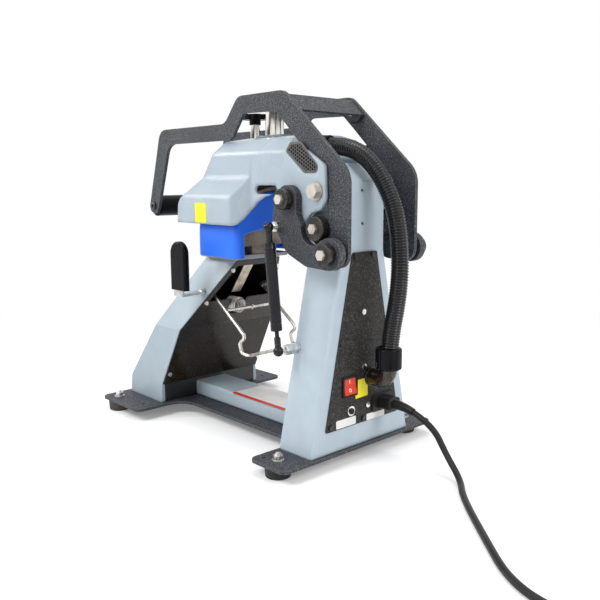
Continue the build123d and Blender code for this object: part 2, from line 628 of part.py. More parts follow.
with BuildPart() as shaft_spacers:
    for side in (1, -1):
        rod_x(side * col_top_half_w, side * (arm_in_x - side_clear), P, shaft_r + 7)
        rod_x(side * col_top_half_w, side * (body_in_x - side_clear), H, shaft_r + 2.5)
    rod_x(-90, 90, P, shaft_r + 1, Mode.SUBTRACT)
    rod_x(-90, 90, H, shaft_r, Mode.SUBTRACT)
shaft_spacers.part.label = "shaft_spacers"
export_step(shaft_spacers.part, "parts/shaft_spacers.step")

# End caps of the lower pivot: a black disc with a hexagon bolt in it.
bolt_flat, bolt_head_t = 13.0, 5.0
with BuildPart() as pivot_caps:
    for side in (1, -1):
        rod_x(side * boss_x, side * (boss_x + boss_t), P, boss_r)
    chamfer(pivot_caps.edges().filter_by(GeomType.CIRCLE).filter_by(
        lambda e: abs(e.center().X) > boss_x + 1), 1.2)
pivot_caps.part.label = "pivot_caps"
export_step(pivot_caps.part, "parts/pivot_caps.step")

with BuildPart() as pivot_bolts:
    for side in (1, -1):
        hex_x(side * (boss_x + boss_t), side * (boss_x + boss_t + bolt_head_t), P, bolt_flat)
pivot_bolts.part.label = "pivot_bolts"
export_step(pivot_bolts.part, "parts/pivot_bolts.step")

# Bolts of the head's hinge: a flange against the shaft's end and a large hexagon.
hinge_flange_r, hinge_flange_t, hinge_hex, hinge_hex_t = 12.5, 2.2, 18.0, 8.0
with BuildPart() as hinge_bolts:
    for side in (1, -1):
        x = ear_out_x + side_clear
        rod_x(side * x, side * (x + hinge_flange_t), H, hinge_flange_r)
        hex_x(side * (x + hinge_flange_t), side * (x + hinge_flange_t + hinge_hex_t), H, hinge_hex)
hinge_bolts.part.label = "hinge_bolts"
export_step(hinge_bolts.part, "parts/hinge_bolts.step")

# Head housing: front, side and plan outlines of a winged hood cross. Inside, the same three are drawn in.
head_front_view = mirrored([(wing_half_w, wing_low_z), (wing_half_w, wing_crease_z), (81, shoulder_z),
                            (body_half_w, bevel_z), (roof_half_w, roof_z), (roof_flat_half_w, roof_top_z)])
brow_y, front_crease = -114.5, (-111.5, 381.0)
head_slope = [(brow_y, wing_low_z), front_crease, (-65, shoulder_z), (-37, 460), (-16, roof_top_z)]
head_ear = [(148, 476), (215, 436), (217, 389), (206, 375), (188, 370), (180, 362), (171, 354),
            (150, 352), (134, 358), (126, 374)]
head_edge = [(121, 396), (109, 396.5), (85, 391), (68, 382.5), (54, 371), (44, 357), (36, 349),
             (32, wing_low_z)]
head_side_view = head_slope + [(roof_rear_y, roof_top_z)] + head_ear + head_edge
head_plan_right = [(wing_half_w, -130), (wing_half_w, wing_rear_y), (body_half_w, wing_end_y),
                   (body_half_w, 230)]
head_plan = [(-x, y) for x, y in reversed(head_plan_right)] + head_plan_right
inner_front = inset(head_front_view, head_wall)
inner_front = [(x, z - 20 if z < wing_low_z + 10 else z) for x, z in inner_front]
inner_slope = inset([(brow_y, 200)] + head_slope + [(roof_rear_y, roof_top_z), (roof_rear_y, 200)],
                    head_wall)
head_round = ((-16, roof_top_z, 20), (*front_crease, 20), (-65, shoulder_z, 12), (215, 436, 10),
              (217, 389, 14), (150, 352, 16), (134, 358, 12), (121, 396, 8), (68, 382.5, 20), (206, 375, 8))
with BuildPart() as head_block:
    add(crossed(head_front_view, head_side_view, head_plan))
    for y, z, r in head_round:
        along_x = head_block.edges().filter_by(Axis.X).filter_by(
            lambda e: hypot(e.center().Y - y, e.center().Z - z) < 0.5)
        fillet(along_x, r)
with BuildPart() as head_housing:
    add(head_block.part)
    # The hood's inside, open below, and then the space between the two ears.
    hood_inside = inner_slope[1:-1] + [(roof_rear_y - head_wall, 300), (brow_y + head_wall, 300)]
    add(crossed(inner_front, hood_inside, inset(head_plan, head_wall)), mode=Mode.SUBTRACT)
    block((-body_in_x, body_in_x), (roof_rear_y, 260), (300, 520), Mode.SUBTRACT)
    block((-body_in_x, body_in_x), (roof_rear_y - 20, 260), (300, rear_wall_low_z), Mode.SUBTRACT)
    rod_x(-110, 110, H, shaft_r + run_clear, Mode.SUBTRACT)
    rod_x(-110, 110, U, pin_r, Mode.SUBTRACT)
    # A long slot in each side, the grille's frame, and the ways through the roof and the rear wall.
    with BuildSketch(Plane.YZ) as side_slot:
        with Locations(((slot_y[0] + slot_y[1]) / 2, slot_z)):
            SlotOverall(slot_y[1] - slot_y[0], slot_h)
    extrude(side_slot.sketch, amount=110, both=True, mode=Mode.SUBTRACT)
    grille_outline = [(134, 457, 6), (144, 469, 4), (167, 469, 6), (203, 435, 8), (199, 425, 6),
                      (174, 425, 8)]
    profile(grille_outline, Plane.YZ, 110, True, Mode.SUBTRACT)
    with Locations((0, knob_y, 440)):
        Cylinder(stem_r + run_clear, 100, mode=Mode.SUBTRACT)
    rod_y(roof_rear_y - 10, roof_rear_y + 10, fitting_at, hose_bore_r, Mode.SUBTRACT)
head_housing.part.label = "head_housing"
export_step(head_housing.part, "parts/head_housing.step")

# Vent grilles: black plates in the side windows, with rows of blind hexagons over a thin skin.
with BuildPart() as vent_grilles:
    for side in (1, -1):
        face_x = side * (body_half_w - 1.0)
        profile(grille_outline, Plane.YZ.offset(face_x), -side * grille_t)
        with BuildSketch(Plane.YZ.offset(face_x)) as holes:
            step = grille_hole + grille_web
            with Locations((168, 447)):
                with HexLocations(step / 2, 15, 11, major_radius=False):
                    RegularPolygon(grille_hole / 2, 6, major_radius=False)
        with BuildSketch(Plane.YZ.offset(face_x)) as rim:
            with BuildLine():
                Polyline(*[(y, z) for y, z, r in grille_outline], close=True)
            make_face()
            offset(amount=-grille_rim - 1, kind=Kind.INTERSECTION, mode=Mode.REPLACE)
        extrude(holes.sketch & rim.sketch, amount=-side * (grille_t - grille_skin), mode=Mode.SUBTRACT)
vent_grilles.part.label = "vent_grilles"
export_step(vent_grilles.part, "parts/vent_grilles.step")

# Guide cylinder on its pad over the roof.
with BuildPart() as guide_pad:
    block((-pad_half_w, pad_half_w), pad_y, (roof_top_z, roof_top_z + pad_t))
guide_pad.part.label = "guide_pad"
export_step(guide_pad.part, "parts/guide_pad.step")

with BuildPart() as guide_cylinder:
    with Locations((0, guide_y, roof_top_z + pad_t)):
        Cylinder(guide_r, guide_top_z - roof_top_z - pad_t, align=(Align.CENTER, Align.CENTER, Align.MIN))
    chamfer(guide_cylinder.edges().sort_by(Axis.Z)[-1], 1.5)
guide_cylinder.part.label = "guide_cylinder"
export_step(guide_cylinder.part, "parts/guide_cylinder.step")

# Hose fitting on the head's rear wall: a flange and a ridged collar with the hose's bore.
with BuildPart() as hose_fitting:
    rod_y(roof_rear_y, roof_rear_y + 3, fitting_at, fitting_r)
    rod_y(roof_rear_y + 3, roof_rear_y + fitting_l, fitting_at, fitting_r - 1.6)
    for ridge in range(3):
        y = roof_rear_y + 5 + 4 * ridge
        rod_y(y, y + 2, fitting_at, fitting_r)
    rod_y(roof_rear_y - 1, roof_rear_y + fitting_l + 1, fitting_at, hose_bore_r, Mode.SUBTRACT)
hose_fitting.part.label = "hose_fitting"
export_step(hose_fitting.part, "parts/hose_fitting.step")

# Upper platen: a heated saddle shell with a lug that holds the end of the pressure spindle.
upper_half_w, upper_crown = cover_half_w + platen_gap, cover_crown + platen_gap
upper_low_z = wing_low_z + 3
with BuildPart() as upper_platen:
    saddle(upper_half_w + upper_platen_t, upper_crown + upper_platen_t, arch_z, *upper_platen_y)
    block((-lug_half_w, lug_half_w), lug_y, (arch_z + cover_crown - 4, lug_z))
    saddle(upper_half_w, upper_crown, arch_z - 50, upper_platen_y[0] - 20, upper_platen_y[1] + 20,
           Mode.SUBTRACT)
    block((-110, 110), (-120, 80), (arch_z - 60, upper_low_z), Mode.SUBTRACT)
    with Locations((0, knob_y, lug_bore_z)):
        Cylinder(stem_r + run_clear, 40, align=(Align.CENTER, Align.CENTER, Align.MIN), mode=Mode.SUBTRACT)
upper_platen.part.label = "upper_platen"
export_step(upper_platen.part, "parts/upper_platen.step")

# Pressure spindle: a bright stem through the roof into the platen's lug.
with BuildPart() as pressure_spindle:
    with Locations((0, knob_y, lug_bore_z + platen_lift + 1)):
        Cylinder(stem_r, knob_z - hub_h - lug_bore_z - platen_lift - 1,
                 align=(Align.CENTER, Align.CENTER, Align.MIN))
pressure_spindle.part.label = "pressure_spindle"
export_step(pressure_spindle.part, "parts/pressure_spindle.step")

# Star knob: a hub under a disc with six hollows in its rim.
with BuildPart() as star_knob:
    with Locations((0, knob_y, knob_z - hub_h)):
        Cylinder(hub_r, hub_h, align=(Align.CENTER, Align.CENTER, Align.MIN))
    with BuildSketch(Plane.XY.offset(knob_z)) as star:
        with Locations((0, knob_y)):
            Circle(knob_r)
            with PolarLocations(knob_r + 2.6, 6, start_angle=30):
                Circle(5.0, mode=Mode.SUBTRACT)
        fillet(star.vertices(), 1.6)
    extrude(amount=knob_t)
    fillet(star_knob.faces().sort_by(Axis.Z)[-1].edges(), 1.2)
star_knob.part.label = "star_knob"
export_step(star_knob.part, "parts/star_knob.step")

# Handle arms: a flat bar that runs forward over the head and down to the handle, and rearward to
# an eye on the lower pivot with a crank lobe under it.
crank_r, eye_r = 20.0, 24.0
leg_up = Vector(0.293, 0.956)
leg_end = Vector(*bar_centre) - leg_up * leg_half_w
leg_out = Vector(leg_up.Y, -leg_up.X) * leg_half_w
arm_outline = [
    (leg_end.X - leg_out.X, leg_end.Y - leg_out.Y, 12), (-200.6, arm_bar_z, 22), (-14, arm_bar_z, 22),
    (20, arm_peak_z, 22), (124, arm_peak_z, 20), (254, 427, 40), (254, L[1], 0), (214, L[1] + 10, 0),
    (214, 416, 30), (129, 496, 14), (108, 515, 8), (32, 516.5, 12), (1.5, arm_low_z, 16),
    (-175.5, arm_low_z, 24), (leg_end.X + leg_out.X, leg_end.Y + leg_out.Y, 12)]
screw_r, screw_head_r, screw_head_t = 4.0, 7.0, 4.0
brace_screw_at, brace_screw_in, handle_screw_at = (130.0, 520.0), 4.0, bar_centre
slot_at, slot_l, slot_w, slot_deep = (-149.0, 491.0), 58.0, 8.0, 0.6


def handle_arm(side):
    """One arm, on the right for side 1 and on the left for side -1."""
    with BuildPart() as arm:
        inner = Plane.YZ.offset(side * arm_in_x)
        profile(arm_outline, inner, side * arm_t)
        with BuildSketch(inner) as lobe:
            with Locations(P):
                Circle(eye_r)
            with Locations(L):
                Circle(crank_r)
            make_hull()
        extrude(lobe.sketch, amount=side * arm_t)
        rod_x(side * 50, side * 90, P, shaft_r + 1 + run_clear, Mode.SUBTRACT)
        rod_x(side * 50, side * 90, L, pin_r, Mode.SUBTRACT)
        rod_x(side * 50, side * 90, handle_screw_at, screw_r, Mode.SUBTRACT)
        rod_x(side * 50, side * (arm_in_x + brace_screw_in), brace_screw_at, screw_r, Mode.SUBTRACT)
        with BuildSketch(Plane.YZ.offset(side * arm_out_x)) as groove:
            with Locations(slot_at):
                SlotOverall(slot_l, slot_w)
                SlotOverall(slot_l - 3, slot_w - 3, mode=Mode.SUBTRACT)
        extrude(groove.sketch, amount=-side * slot_deep, mode=Mode.SUBTRACT)
    return arm.part


arm_right = handle_arm(1)
arm_right.label = "arm_right"
export_step(arm_right, "parts/arm_right.step")
arm_left = handle_arm(-1)
arm_left.label = "arm_left"
export_step(arm_left, "parts/arm_left.step")

# Handle bar: a tube between the arms with a plug in each end for its screw.
plug_t = 12.0
with BuildPart() as handle_bar:
    rod_x(-arm_in_x, arm_in_x, bar_centre, bar_r)
    rod_x(-arm_in_x + plug_t, arm_in_x - plug_t, bar_centre, bar_r - bar_wall, Mode.SUBTRACT)
    rod_x(-arm_in_x, arm_in_x, bar_centre, screw_r, Mode.SUBTRACT)
handle_bar.part.label = "handle_bar"
export_step(handle_bar.part, "parts/handle_bar.step")

# Cross brace: a bent sheet between the arms with a folded tab at each end.
brace_t, tab_t = 4.0, 4.0
brace_top = [(100, 538), (127, 538), (151, 515)]
brace_low = [(151 - 0.7 * brace_t, 515 - 0.7 * brace_t), (127 - 0.4 * brace_t, 538 - brace_t),
             (100, 538 - brace_t)]
with BuildPart() as cross_brace:
    slab(brace_top + brace_low, Plane.YZ, arm_in_x, both=True)
    for side in (1, -1):
        tab = [(112, 517), (112, 536), (126, 536), (149, 514), (141, 505), (124, 505)]
        slab(tab, Plane.YZ.offset(side * arm_in_x), -side * tab_t)
        rod_x(side * 50, side * 90, brace_screw_at, screw_r, Mode.SUBTRACT)
cross_brace.part.label = "cross_brace"
export_step(cross_brace.part, "parts/cross_brace.step")

# Button-head screws: two hold the bar from outside the arms, two hold the brace from inside its tabs.
socket_flat, socket_deep = 5.0, 2.0
with BuildPart() as arm_screws:
    for side in (1, -1):
        tab_x = arm_in_x - tab_t
        rod_x(side * (arm_in_x - plug_t + 2), side * arm_out_x, handle_screw_at, screw_r)
        rod_x(side * arm_out_x, side * (arm_out_x + screw_head_t), handle_screw_at, screw_head_r)
        rod_x(side * tab_x, side * (arm_in_x + brace_screw_in), brace_screw_at, screw_r)
        rod_x(side * (tab_x - screw_head_t), side * tab_x, brace_screw_at, screw_head_r)
    head_x = (arm_out_x + screw_head_t, arm_in_x - tab_t - screw_head_t)
    heads = arm_screws.edges().filter_by(GeomType.CIRCLE).filter_by(
        lambda e: min(abs(abs(e.center().X) - x) for x in head_x) < 0.01)
    fillet(heads, 2.5)
    for side in (1, -1):
        out_x, in_x = head_x
        hex_x(side * (out_x - socket_deep), side * out_x, handle_screw_at, socket_flat, Mode.SUBTRACT)
        hex_x(side * in_x, side * (in_x + socket_deep), brace_screw_at, socket_flat, Mode.SUBTRACT)
arm_screws.part.label = "arm_screws"
export_step(arm_screws.part, "parts/arm_screws.step")


def pins_and_bolts(at, from_x, shoulder_x, shoulder_r, name):
    """Pins on both sides, each with a shoulder inside its link and a collar outside, and their bolts."""
    collar_x = link_out_x + side_clear
    with BuildPart() as pins:
        for side in (1, -1):
            rod_x(side * from_x, side * collar_x, at, pin_r)
            rod_x(side * shoulder_x, side * (link_in_x - shoulder_gap), at, shoulder_r)
            rod_x(side * collar_x, side * (collar_x + collar_t), at, collar_r)
        chamfer(pins.edges().filter_by(GeomType.CIRCLE).filter_by(
            lambda e: abs(e.center().X) > link_out_x + 2), 1.0)
    pins.part.label = name + "_pins"
    export_step(pins.part, "parts/" + name + "_pins.step")
    with BuildPart() as bolts:
        for side in (1, -1):
            x = collar_x + collar_t
            hex_x(side * x, side * (x + bolt_head_t), at, bolt_flat)
    bolts.part.label = name + "_bolts"
    export_step(bolts.part, "parts/" + name + "_bolts.step")


# Upper link pins stand on the head's ears, lower ones on the arms' crank lobes.
pins_and_bolts(U, body_in_x, body_half_w, 12.0, "upper")
pins_and_bolts(L, arm_in_x, arm_out_x, 17.0, "lower")

# Toggle links: a curved bar from the head's pin round the lower pivot's cap to the crank lobe.
link_eye_r, link_lobe_r, cap_gap = 20.0, 22.0, 5.2
link_outline = [(131, 395, 0), (121, 372, 10), (121, 356, 14), (149, 313, 26), (190, 296, 30), (231, 294, 0),
                (250, 330, 0), (222, 334, 0), (200, 336, 0), (180, 352, 12), (170, 368, 10), (169, 392, 0)]


def toggle_link(side):
    """One link, on the right for side 1 and on the left for side -1."""
    with BuildPart() as link:
        inner = Plane.YZ.offset(side * link_in_x)
        profile(link_outline, inner, side * link_t)
        rod_x(side * link_in_x, side * link_out_x, U, link_eye_r)
        rod_x(side * link_in_x, side * link_out_x, P, boss_r + cap_gap, Mode.SUBTRACT)
        rod_x(side * link_in_x, side * link_out_x, L, link_lobe_r)
        rod_x(side * 70, side * 110, U, pin_r + run_clear, Mode.SUBTRACT)
        rod_x(side * 70, side * 110, L, pin_r + open_pivot_clear, Mode.SUBTRACT)
        if side > 0:
            rod_x(70, 110, gas_top, ball_stud_r, Mode.SUBTRACT)
    return link.part


link_right = toggle_link(1)
link_right.label = "link_right"
export_step(link_right, "parts/link_right.step")
link_left = toggle_link(-1)
link_left.label = "link_left"
export_step(link_left, "parts/link_left.step")

# Ball studs of the gas spring: the upper one in the link, the lower one through the column's side.
stud_hex, stud_neck_r = 14.0, 3.0
with BuildPart() as gas_upper_stud:
    rod_x(link_in_x, link_out_x, gas_top, ball_stud_r)
    hex_x(link_out_x, gas_x - 11.5, gas_top, stud_hex)
    rod_x(gas_x - 11.5, gas_x, gas_top, stud_neck_r)
    with Locations((gas_x, gas_top[0], gas_top[1])):
        Sphere(ball_r)
gas_upper_stud.part.label = "gas_upper_stud"
export_step(gas_upper_stud.part, "parts/gas_upper_stud.step")

with BuildPart() as gas_lower_stud:
    hex_x(60, gas_x - 11.5, gas_low, stud_hex)
    add(crossed(col_front_view, col_side_view), mode=Mode.SUBTRACT)
    rod_x(66, gas_x, gas_low, ball_stud_r - 1)
    rod_x(66, gas_x - 14, gas_low, ball_stud_r)
    with Locations((gas_x, gas_low[0], gas_low[1])):
        Sphere(ball_r)
gas_lower_stud.part.label = "gas_lower_stud"
export_step(gas_lower_stud.part, "parts/gas_lower_stud.step")

# Gas spring. Its own plane has the lower ball at the origin and Z along the rod.
gas_run = hypot(gas_top[0] - gas_low[0], gas_top[1] - gas_low[1])
gas_axis = Vector(0, (gas_top[0] - gas_low[0]) / gas_run, (gas_top[1] - gas_low[1]) / gas_run)
gas_plane = Plane(origin=(gas_x, gas_low[0], gas_low[1]), x_dir=(1, 0, 0), z_dir=gas_axis)
tube_end, tube_open_bore = gas_run - top_neck, gas_tube_r - gas_tube_wall
piston_z, piston_t, gland_t = 138.0, 10.0, 8.0


def bar_on(z0, z1, r, mode=Mode.ADD):
    """A round bar along the gas spring between two distances from its lower ball."""
    with BuildSketch(gas_plane.offset(z0)) as drawn:
        Circle(r)
    extrude(drawn.sketch, amount=z1 - z0, mode=mode)


def ball_socket(z, clear, toward):
    """A socket round the ball at a distance z, open to the inner side, with its neck toward the bar."""
    with Locations(gas_plane.location * Location((0, 0, z))):
        Sphere(socket_r)
    bar_on(z, z + toward, neck_r)
    with Locations(gas_plane.location * Location((0, 0, z))):
        Sphere(ball_r + clear, mode=Mode.SUBTRACT)
        Cylinder(stud_neck_r + clear, 20, rotation=(0, 90, 0), align=(Align.CENTER, Align.CENTER, Align.MAX),
                 mode=Mode.SUBTRACT)


with BuildPart() as gas_rod:
    ball_socket(0, run_clear, low_neck)
    bar_on(low_neck, piston_z, gas_rod_r)
    bar_on(piston_z, piston_z + piston_t, tube_open_bore - run_clear)
gas_rod.part.label = "gas_rod"
export_step(gas_rod.part, "parts/gas_rod.step")

with BuildPart() as gas_tube:
    ball_socket(gas_run, socket_clear, -top_neck)
    bar_on(tube_start, tube_end, gas_tube_r)
    bar_on(tube_start + gland_t, tube_end - 4, tube_open_bore, Mode.SUBTRACT)
    bar_on(tube_start - 1, tube_start + gland_t, gas_rod_r + run_clear, Mode.SUBTRACT)
gas_tube.part.label = "gas_tube"
export_step(gas_tube.part, "parts/gas_tube.step")

# Hold-down: two stubs in the pedestal's sides carry a wire bail inside, and the right one a lever.
with BuildPart() as bail_stubs:
    for side in (1, -1):
        rod_x(side * (bail_half_w - stub_in), side * hold_shaft_out, bail_axis, hold_shaft_r)
        collar_x = bail_half_w + wire_r + 1
        rod_x(side * collar_x, side * (collar_x + 4), bail_axis, hold_shaft_r + 3)
with BuildPart() as wire_bail:
    points = [(bail_half_w, *at) for at in (bail_axis, bail_knee, *bail_curl, bail_end)]
    points += [(-x, y, z) for x, y, z in reversed(points)]
    with BuildLine() as bail_line:
        FilletPolyline(*points, radius=bail_bend)
    with BuildSketch(Plane(origin=bail_line.line @ 0, z_dir=bail_line.line % 0)):
        Circle(wire_r)
    sweep(path=bail_line.line)
    cross_y = bail_axis[0] + cross_wire_along * (bail_knee[0] - bail_axis[0])
    cross_z = bail_axis[1] + cross_wire_along * (bail_knee[1] - bail_axis[1])
    rod_x(-bail_half_w, bail_half_w, (cross_y, cross_z), cross_wire_r)
    add(bail_stubs.part)
wire_bail.part.label = "wire_bail"
export_step(wire_bail.part, "parts/wire_bail.step")

grip_z = bail_axis[1] + grip_low
with BuildPart() as hold_lever:
    z = bail_axis[1]
    low_z, high_z, top_z = z - lever_t / 2, z + lever_t / 2, z + grip_h - 6
    bend = [(hold_shaft_out, low_z), (lever_x, low_z), (lever_x, top_z), (lever_x - lever_t, top_z),
            (lever_x - lever_t, high_z), (hold_shaft_out, high_z)]
    slab(bend, Plane.XZ.offset(-bail_axis[0]), lever_w / 2, both=True)
hold_lever.part.label = "hold_lever"
export_step(hold_lever.part, "parts/hold_lever.step")

with BuildPart() as lever_grip:
    with BuildSketch(Plane.YZ.offset(lever_x - lever_t / 2)):
        with Locations((bail_axis[0] + grip_back, grip_z + grip_h / 2)):
            Rectangle(grip_w, grip_h)
    extrude(amount=grip_t / 2, both=True)
    fillet(lever_grip.edges().filter_by(Axis.X).group_by(Axis.Z)[-1], grip_w / 2 - 0.1)
    side_rims = lever_grip.edges().filter_by(
        lambda e: abs(abs(e.center().X - lever_x + lever_t / 2) - grip_t / 2) < 0.01)
    fillet(side_rims.filter_by(lambda e: e.center().Z > grip_z + 1), 3)
    slab(bend, Plane.XZ.offset(-bail_axis[0]), lever_w / 2, both=True, mode=Mode.SUBTRACT)
lever_grip.part.label = "lever_grip"
export_step(lever_grip.part, "parts/lever_grip.step")

# Bail spring: close curls along Y, wound as one wire, with a hook round the cross wire at the rear
# and one through the anchor's ring at the front.
curl_points, curl_tangents = [], []
curl_steps = 4 * spring_turns
rise_y = spring_pitch / 4
lead = spring_pitch / (2 * pi * spring_r)
for step in range(curl_steps + 1):
    a = pi / 2 * step
    curl_points.append(Vector(spring_r * sin(a), spring_rear_y - rise_y * step, spring_z + spring_r * cos(a)))
    curl_tangents.append(Vector(cos(a), -lead, -sin(a)).normalized())
front_y = spring_rear_y - rise_y * curl_steps
rear_hook_r = cross_wire_r + spring_wire_r + 0.5
front_hook_r = anchor_wire_r + spring_wire_r + 0.5
ring_rear_y = anchor_y + anchor_ring_r


def swept_path(points, tangents):
    """Points measured along the arc pairs that wound_path draws, eight on each arc."""
    with BuildLine(mode=Mode.PRIVATE) as drawn:
        wound_path(points, tangents)
    line = drawn.line
    count = 16 * (len(points) - 1)
    return [line @ (k / count) for k in range(count + 1)]


rear_hook = [(Vector(0, cross_y, cross_z - rear_hook_r), Vector(0, 1, 0)),
             (Vector(0, cross_y + rear_hook_r, cross_z), Vector(0, 0, 1)),
             (Vector(0, cross_y, cross_z + rear_hook_r), Vector(0, -1, 0))]
front_hook = [(Vector(6, front_y - 3.5, spring_z + 7), Vector(0, -0.5, -0.866)),
              (Vector(front_hook_r, ring_rear_y + 2, spring_z), Vector(0, -1, 0)),
              (Vector(0, ring_rear_y - front_hook_r, spring_z), Vector(-1, 0, 0)),
              (Vector(-front_hook_r, ring_rear_y, spring_z), Vector(0, 1, 0))]
spring_points = [p for p, t in rear_hook] + curl_points + [p for p, t in front_hook]
spring_tangents = [t for p, t in rear_hook] + curl_tangents + [t for p, t in front_hook]
with BuildPart() as bail_spring:
    with BuildLine() as spring_line:
        wound_path(spring_points, spring_tangents)
    with BuildSketch(Plane(origin=spring_line.line @ 0, z_dir=spring_line.line % 0)):
        Circle(spring_wire_r)
    sweep(path=spring_line.line)
bail_spring.part.label = "bail_spring"
export_step(bail_spring.part, "parts/bail_spring.step")
on_spring = swept_path(spring_points, spring_tangents)
print("bail spring: least gap to itself", round(least_gap(on_spring, spring_wire_r, 10), 2), "mm")

# Conduit elbow: a flanged pipe out of the rear cover that turns up.
elbow_x, elbow_z = elbow_at
elbow_bend = 17.0
with BuildPart() as conduit_elbow:
    with BuildLine() as elbow_line:
        FilletPolyline((elbow_x, back_y, elbow_z), (elbow_x, hose_y, elbow_z), (elbow_x, hose_y, gland_z),
                       radius=elbow_bend - 0.01)
    with BuildSketch(Plane.XZ.offset(-back_y)):
        with Locations(elbow_at):
            Circle(elbow_r)
    sweep(path=elbow_line.line)
    rod_y(back_y, back_y + 2, elbow_at, elbow_r + 1.5)
with BuildPart() as elbow_bore:
    with BuildSketch(Plane.XZ.offset(-back_y)):
        with Locations(elbow_at):
            Circle(elbow_bore_r)
    sweep(path=elbow_line.line)
elbow_solid = conduit_elbow.part - elbow_bore.part
elbow_solid.label = "conduit_elbow"
export_step(elbow_solid, "parts/conduit_elbow.step")

# Gland nut: a round nut with flutes down its side and a seat inside for the hose's end.
hose_seat, flute_r, flutes = 9.0, 2.4, 10
with BuildPart() as gland_nut:
    with Locations((elbow_x, hose_y, gland_z)):
        Cylinder(gland_r - 1, gland_h, align=(Align.CENTER, Align.CENTER, Align.MIN))
    fillet(gland_nut.edges().filter_by(GeomType.CIRCLE), 4)
    with Locations((elbow_x, hose_y, gland_z)):
        with PolarLocations(gland_r + 0.4, flutes):
            Cylinder(flute_r, gland_h, align=(Align.CENTER, Align.CENTER, Align.MIN), mode=Mode.SUBTRACT)
    with Locations((elbow_x, hose_y, gland_z)):
        Cylinder(hose_bore_r, gland_h, align=(Align.CENTER, Align.CENTER, Align.MIN), mode=Mode.SUBTRACT)
    with Locations((elbow_x, hose_y, gland_z + hose_seat)):
        Cylinder(hose_r + nut_gap, gland_h, align=(Align.CENTER, Align.CENTER, Align.MIN), mode=Mode.SUBTRACT)
gland_nut.part.label = "gland_nut"
export_step(gland_nut.part, "parts/gland_nut.step")

# Conduit hose: ribs along a curve from the gland nut over the column to the head's fitting.
hose_end_y = roof_rear_y + fitting_l
hose_points = [
    (elbow_x, hose_y, gland_z + hose_seat), (elbow_x, 256, 196), (elbow_x, 266.5, 243), (elbow_x, 270.8, 290),
    (elbow_x, 267.5, 335), (-15, 260, 374), (-12, 247, 405), (-8, 229, 433), (-3, 206, 454),
    (4, 180, 464), (fitting_at[0], hose_end_y, fitting_at[1])]
with BuildLine():
    hose_route = Spline(*hose_points, tangents=[(0, 0, 1), (0, -1, 0)])
hose_length = hose_route.length
rib_count = int(hose_length / rib_pitch)


def hose_circle(along, r):
    """A circle across the hose at a distance along it, turned so that it starts at the X side."""
    at, way = hose_route @ (along / hose_length), hose_route % (along / hose_length)
    across = (Vector(1, 0, 0) - way * way.X).normalized()
    with BuildSketch(Plane(origin=at, x_dir=across, z_dir=way)) as drawn:
        Circle(r)
    return drawn.sketch.faces()[0]


true_pitch = hose_length / rib_count
rib_form = ((0.06, hose_root_r), (0.26, hose_r), (0.60, hose_r), (0.80, hose_root_r))
rings = [hose_circle(0, hose_root_r)]
rings += [hose_circle((k + share) * true_pitch, r) for k in range(rib_count) for share, r in rib_form]
rings += [hose_circle(hose_length, hose_root_r)]
hose_body = loft(rings, ruled=True)
bore_rings = [hose_circle(hose_length * k / rib_count, hose_bore_r) for k in range(rib_count + 1)]
hose_bore = loft(bore_rings, ruled=True)
conduit_hose = hose_body - hose_bore
conduit_hose.label = "conduit_hose"
export_step(conduit_hose, "parts/conduit_hose.step")
print("hose:", rib_count, "ribs over", round(hose_length, 1), "mm, volume", round(conduit_hose.volume))

# Appliance plug: a nose in the inlet, a body outside it and a drooping strain relief.
inlet_face_y = back_y + inlet_flange_t
plug_body_l, plug_body_w, plug_body_h = 24.0, 26.0, 18.0
relief_rings = ((inlet_face_y + plug_body_l - 2, inlet_at[1], 7.8, 0.0), (262.0, 79.2, 6.6, 9.0),
                (279.0, 75.6, 5.6, 18.0))
with BuildPart() as appliance_plug:
    with BuildSketch(Plane.XZ.offset(-inlet_face_y)):
        with Locations(inlet_at):
            Rectangle(nose_w, nose_h)
    extrude(amount=socket_depth - 3)
    with BuildSketch(Plane.XZ.offset(-inlet_face_y)):
        with Locations(inlet_at):
            RectangleRounded(plug_body_w, plug_body_h, 4)
    extrude(amount=-plug_body_l)
    fillet(appliance_plug.faces().sort_by(Axis.Y)[-1].edges(), 3)
    for y, z, r, droop in relief_rings:
        way = Vector(0, cos(radians(droop)), -sin(radians(droop)))
        with BuildSketch(Plane(origin=(inlet_at[0], y, z), x_dir=(1, 0, 0), z_dir=way)):
            Circle(r)
    loft()
appliance_plug.part.label = "appliance_plug"
export_step(appliance_plug.part, "parts/appliance_plug.step")

# Power cord: out of the relief, down to the table, round to its coil behind the machine.
exit_y, exit_z, exit_droop = relief_rings[-1][0], relief_rings[-1][1], radians(relief_rings[-1][3])
cord_points = [
    (-42, exit_y, exit_z), (-42, exit_y + 38 * cos(exit_droop), exit_z - 38 * sin(exit_droop)),
    (-39, 342, 28),
    (-26, 376, cord_r), (16, 408, cord_r), (80, 477, cord_r), (coil_at[0] - coil_r, 574, cord_r),
    (coil_at[0] - coil_r, coil_at[1], cord_r)]


def bend_radii(points):
    """A bend radius at each inner point that uses nine tenths of half the shorter run beside it."""
    radii = []
    for p, q, r in zip(points, points[1:], points[2:]):
        a, b = Vector(*q) - Vector(*p), Vector(*r) - Vector(*q)
        half_turn = radians(a.get_angle(b)) / 2
        radii.append(min(0.45 * min(a.length, b.length) / tan(half_turn), 140.0))
    return radii


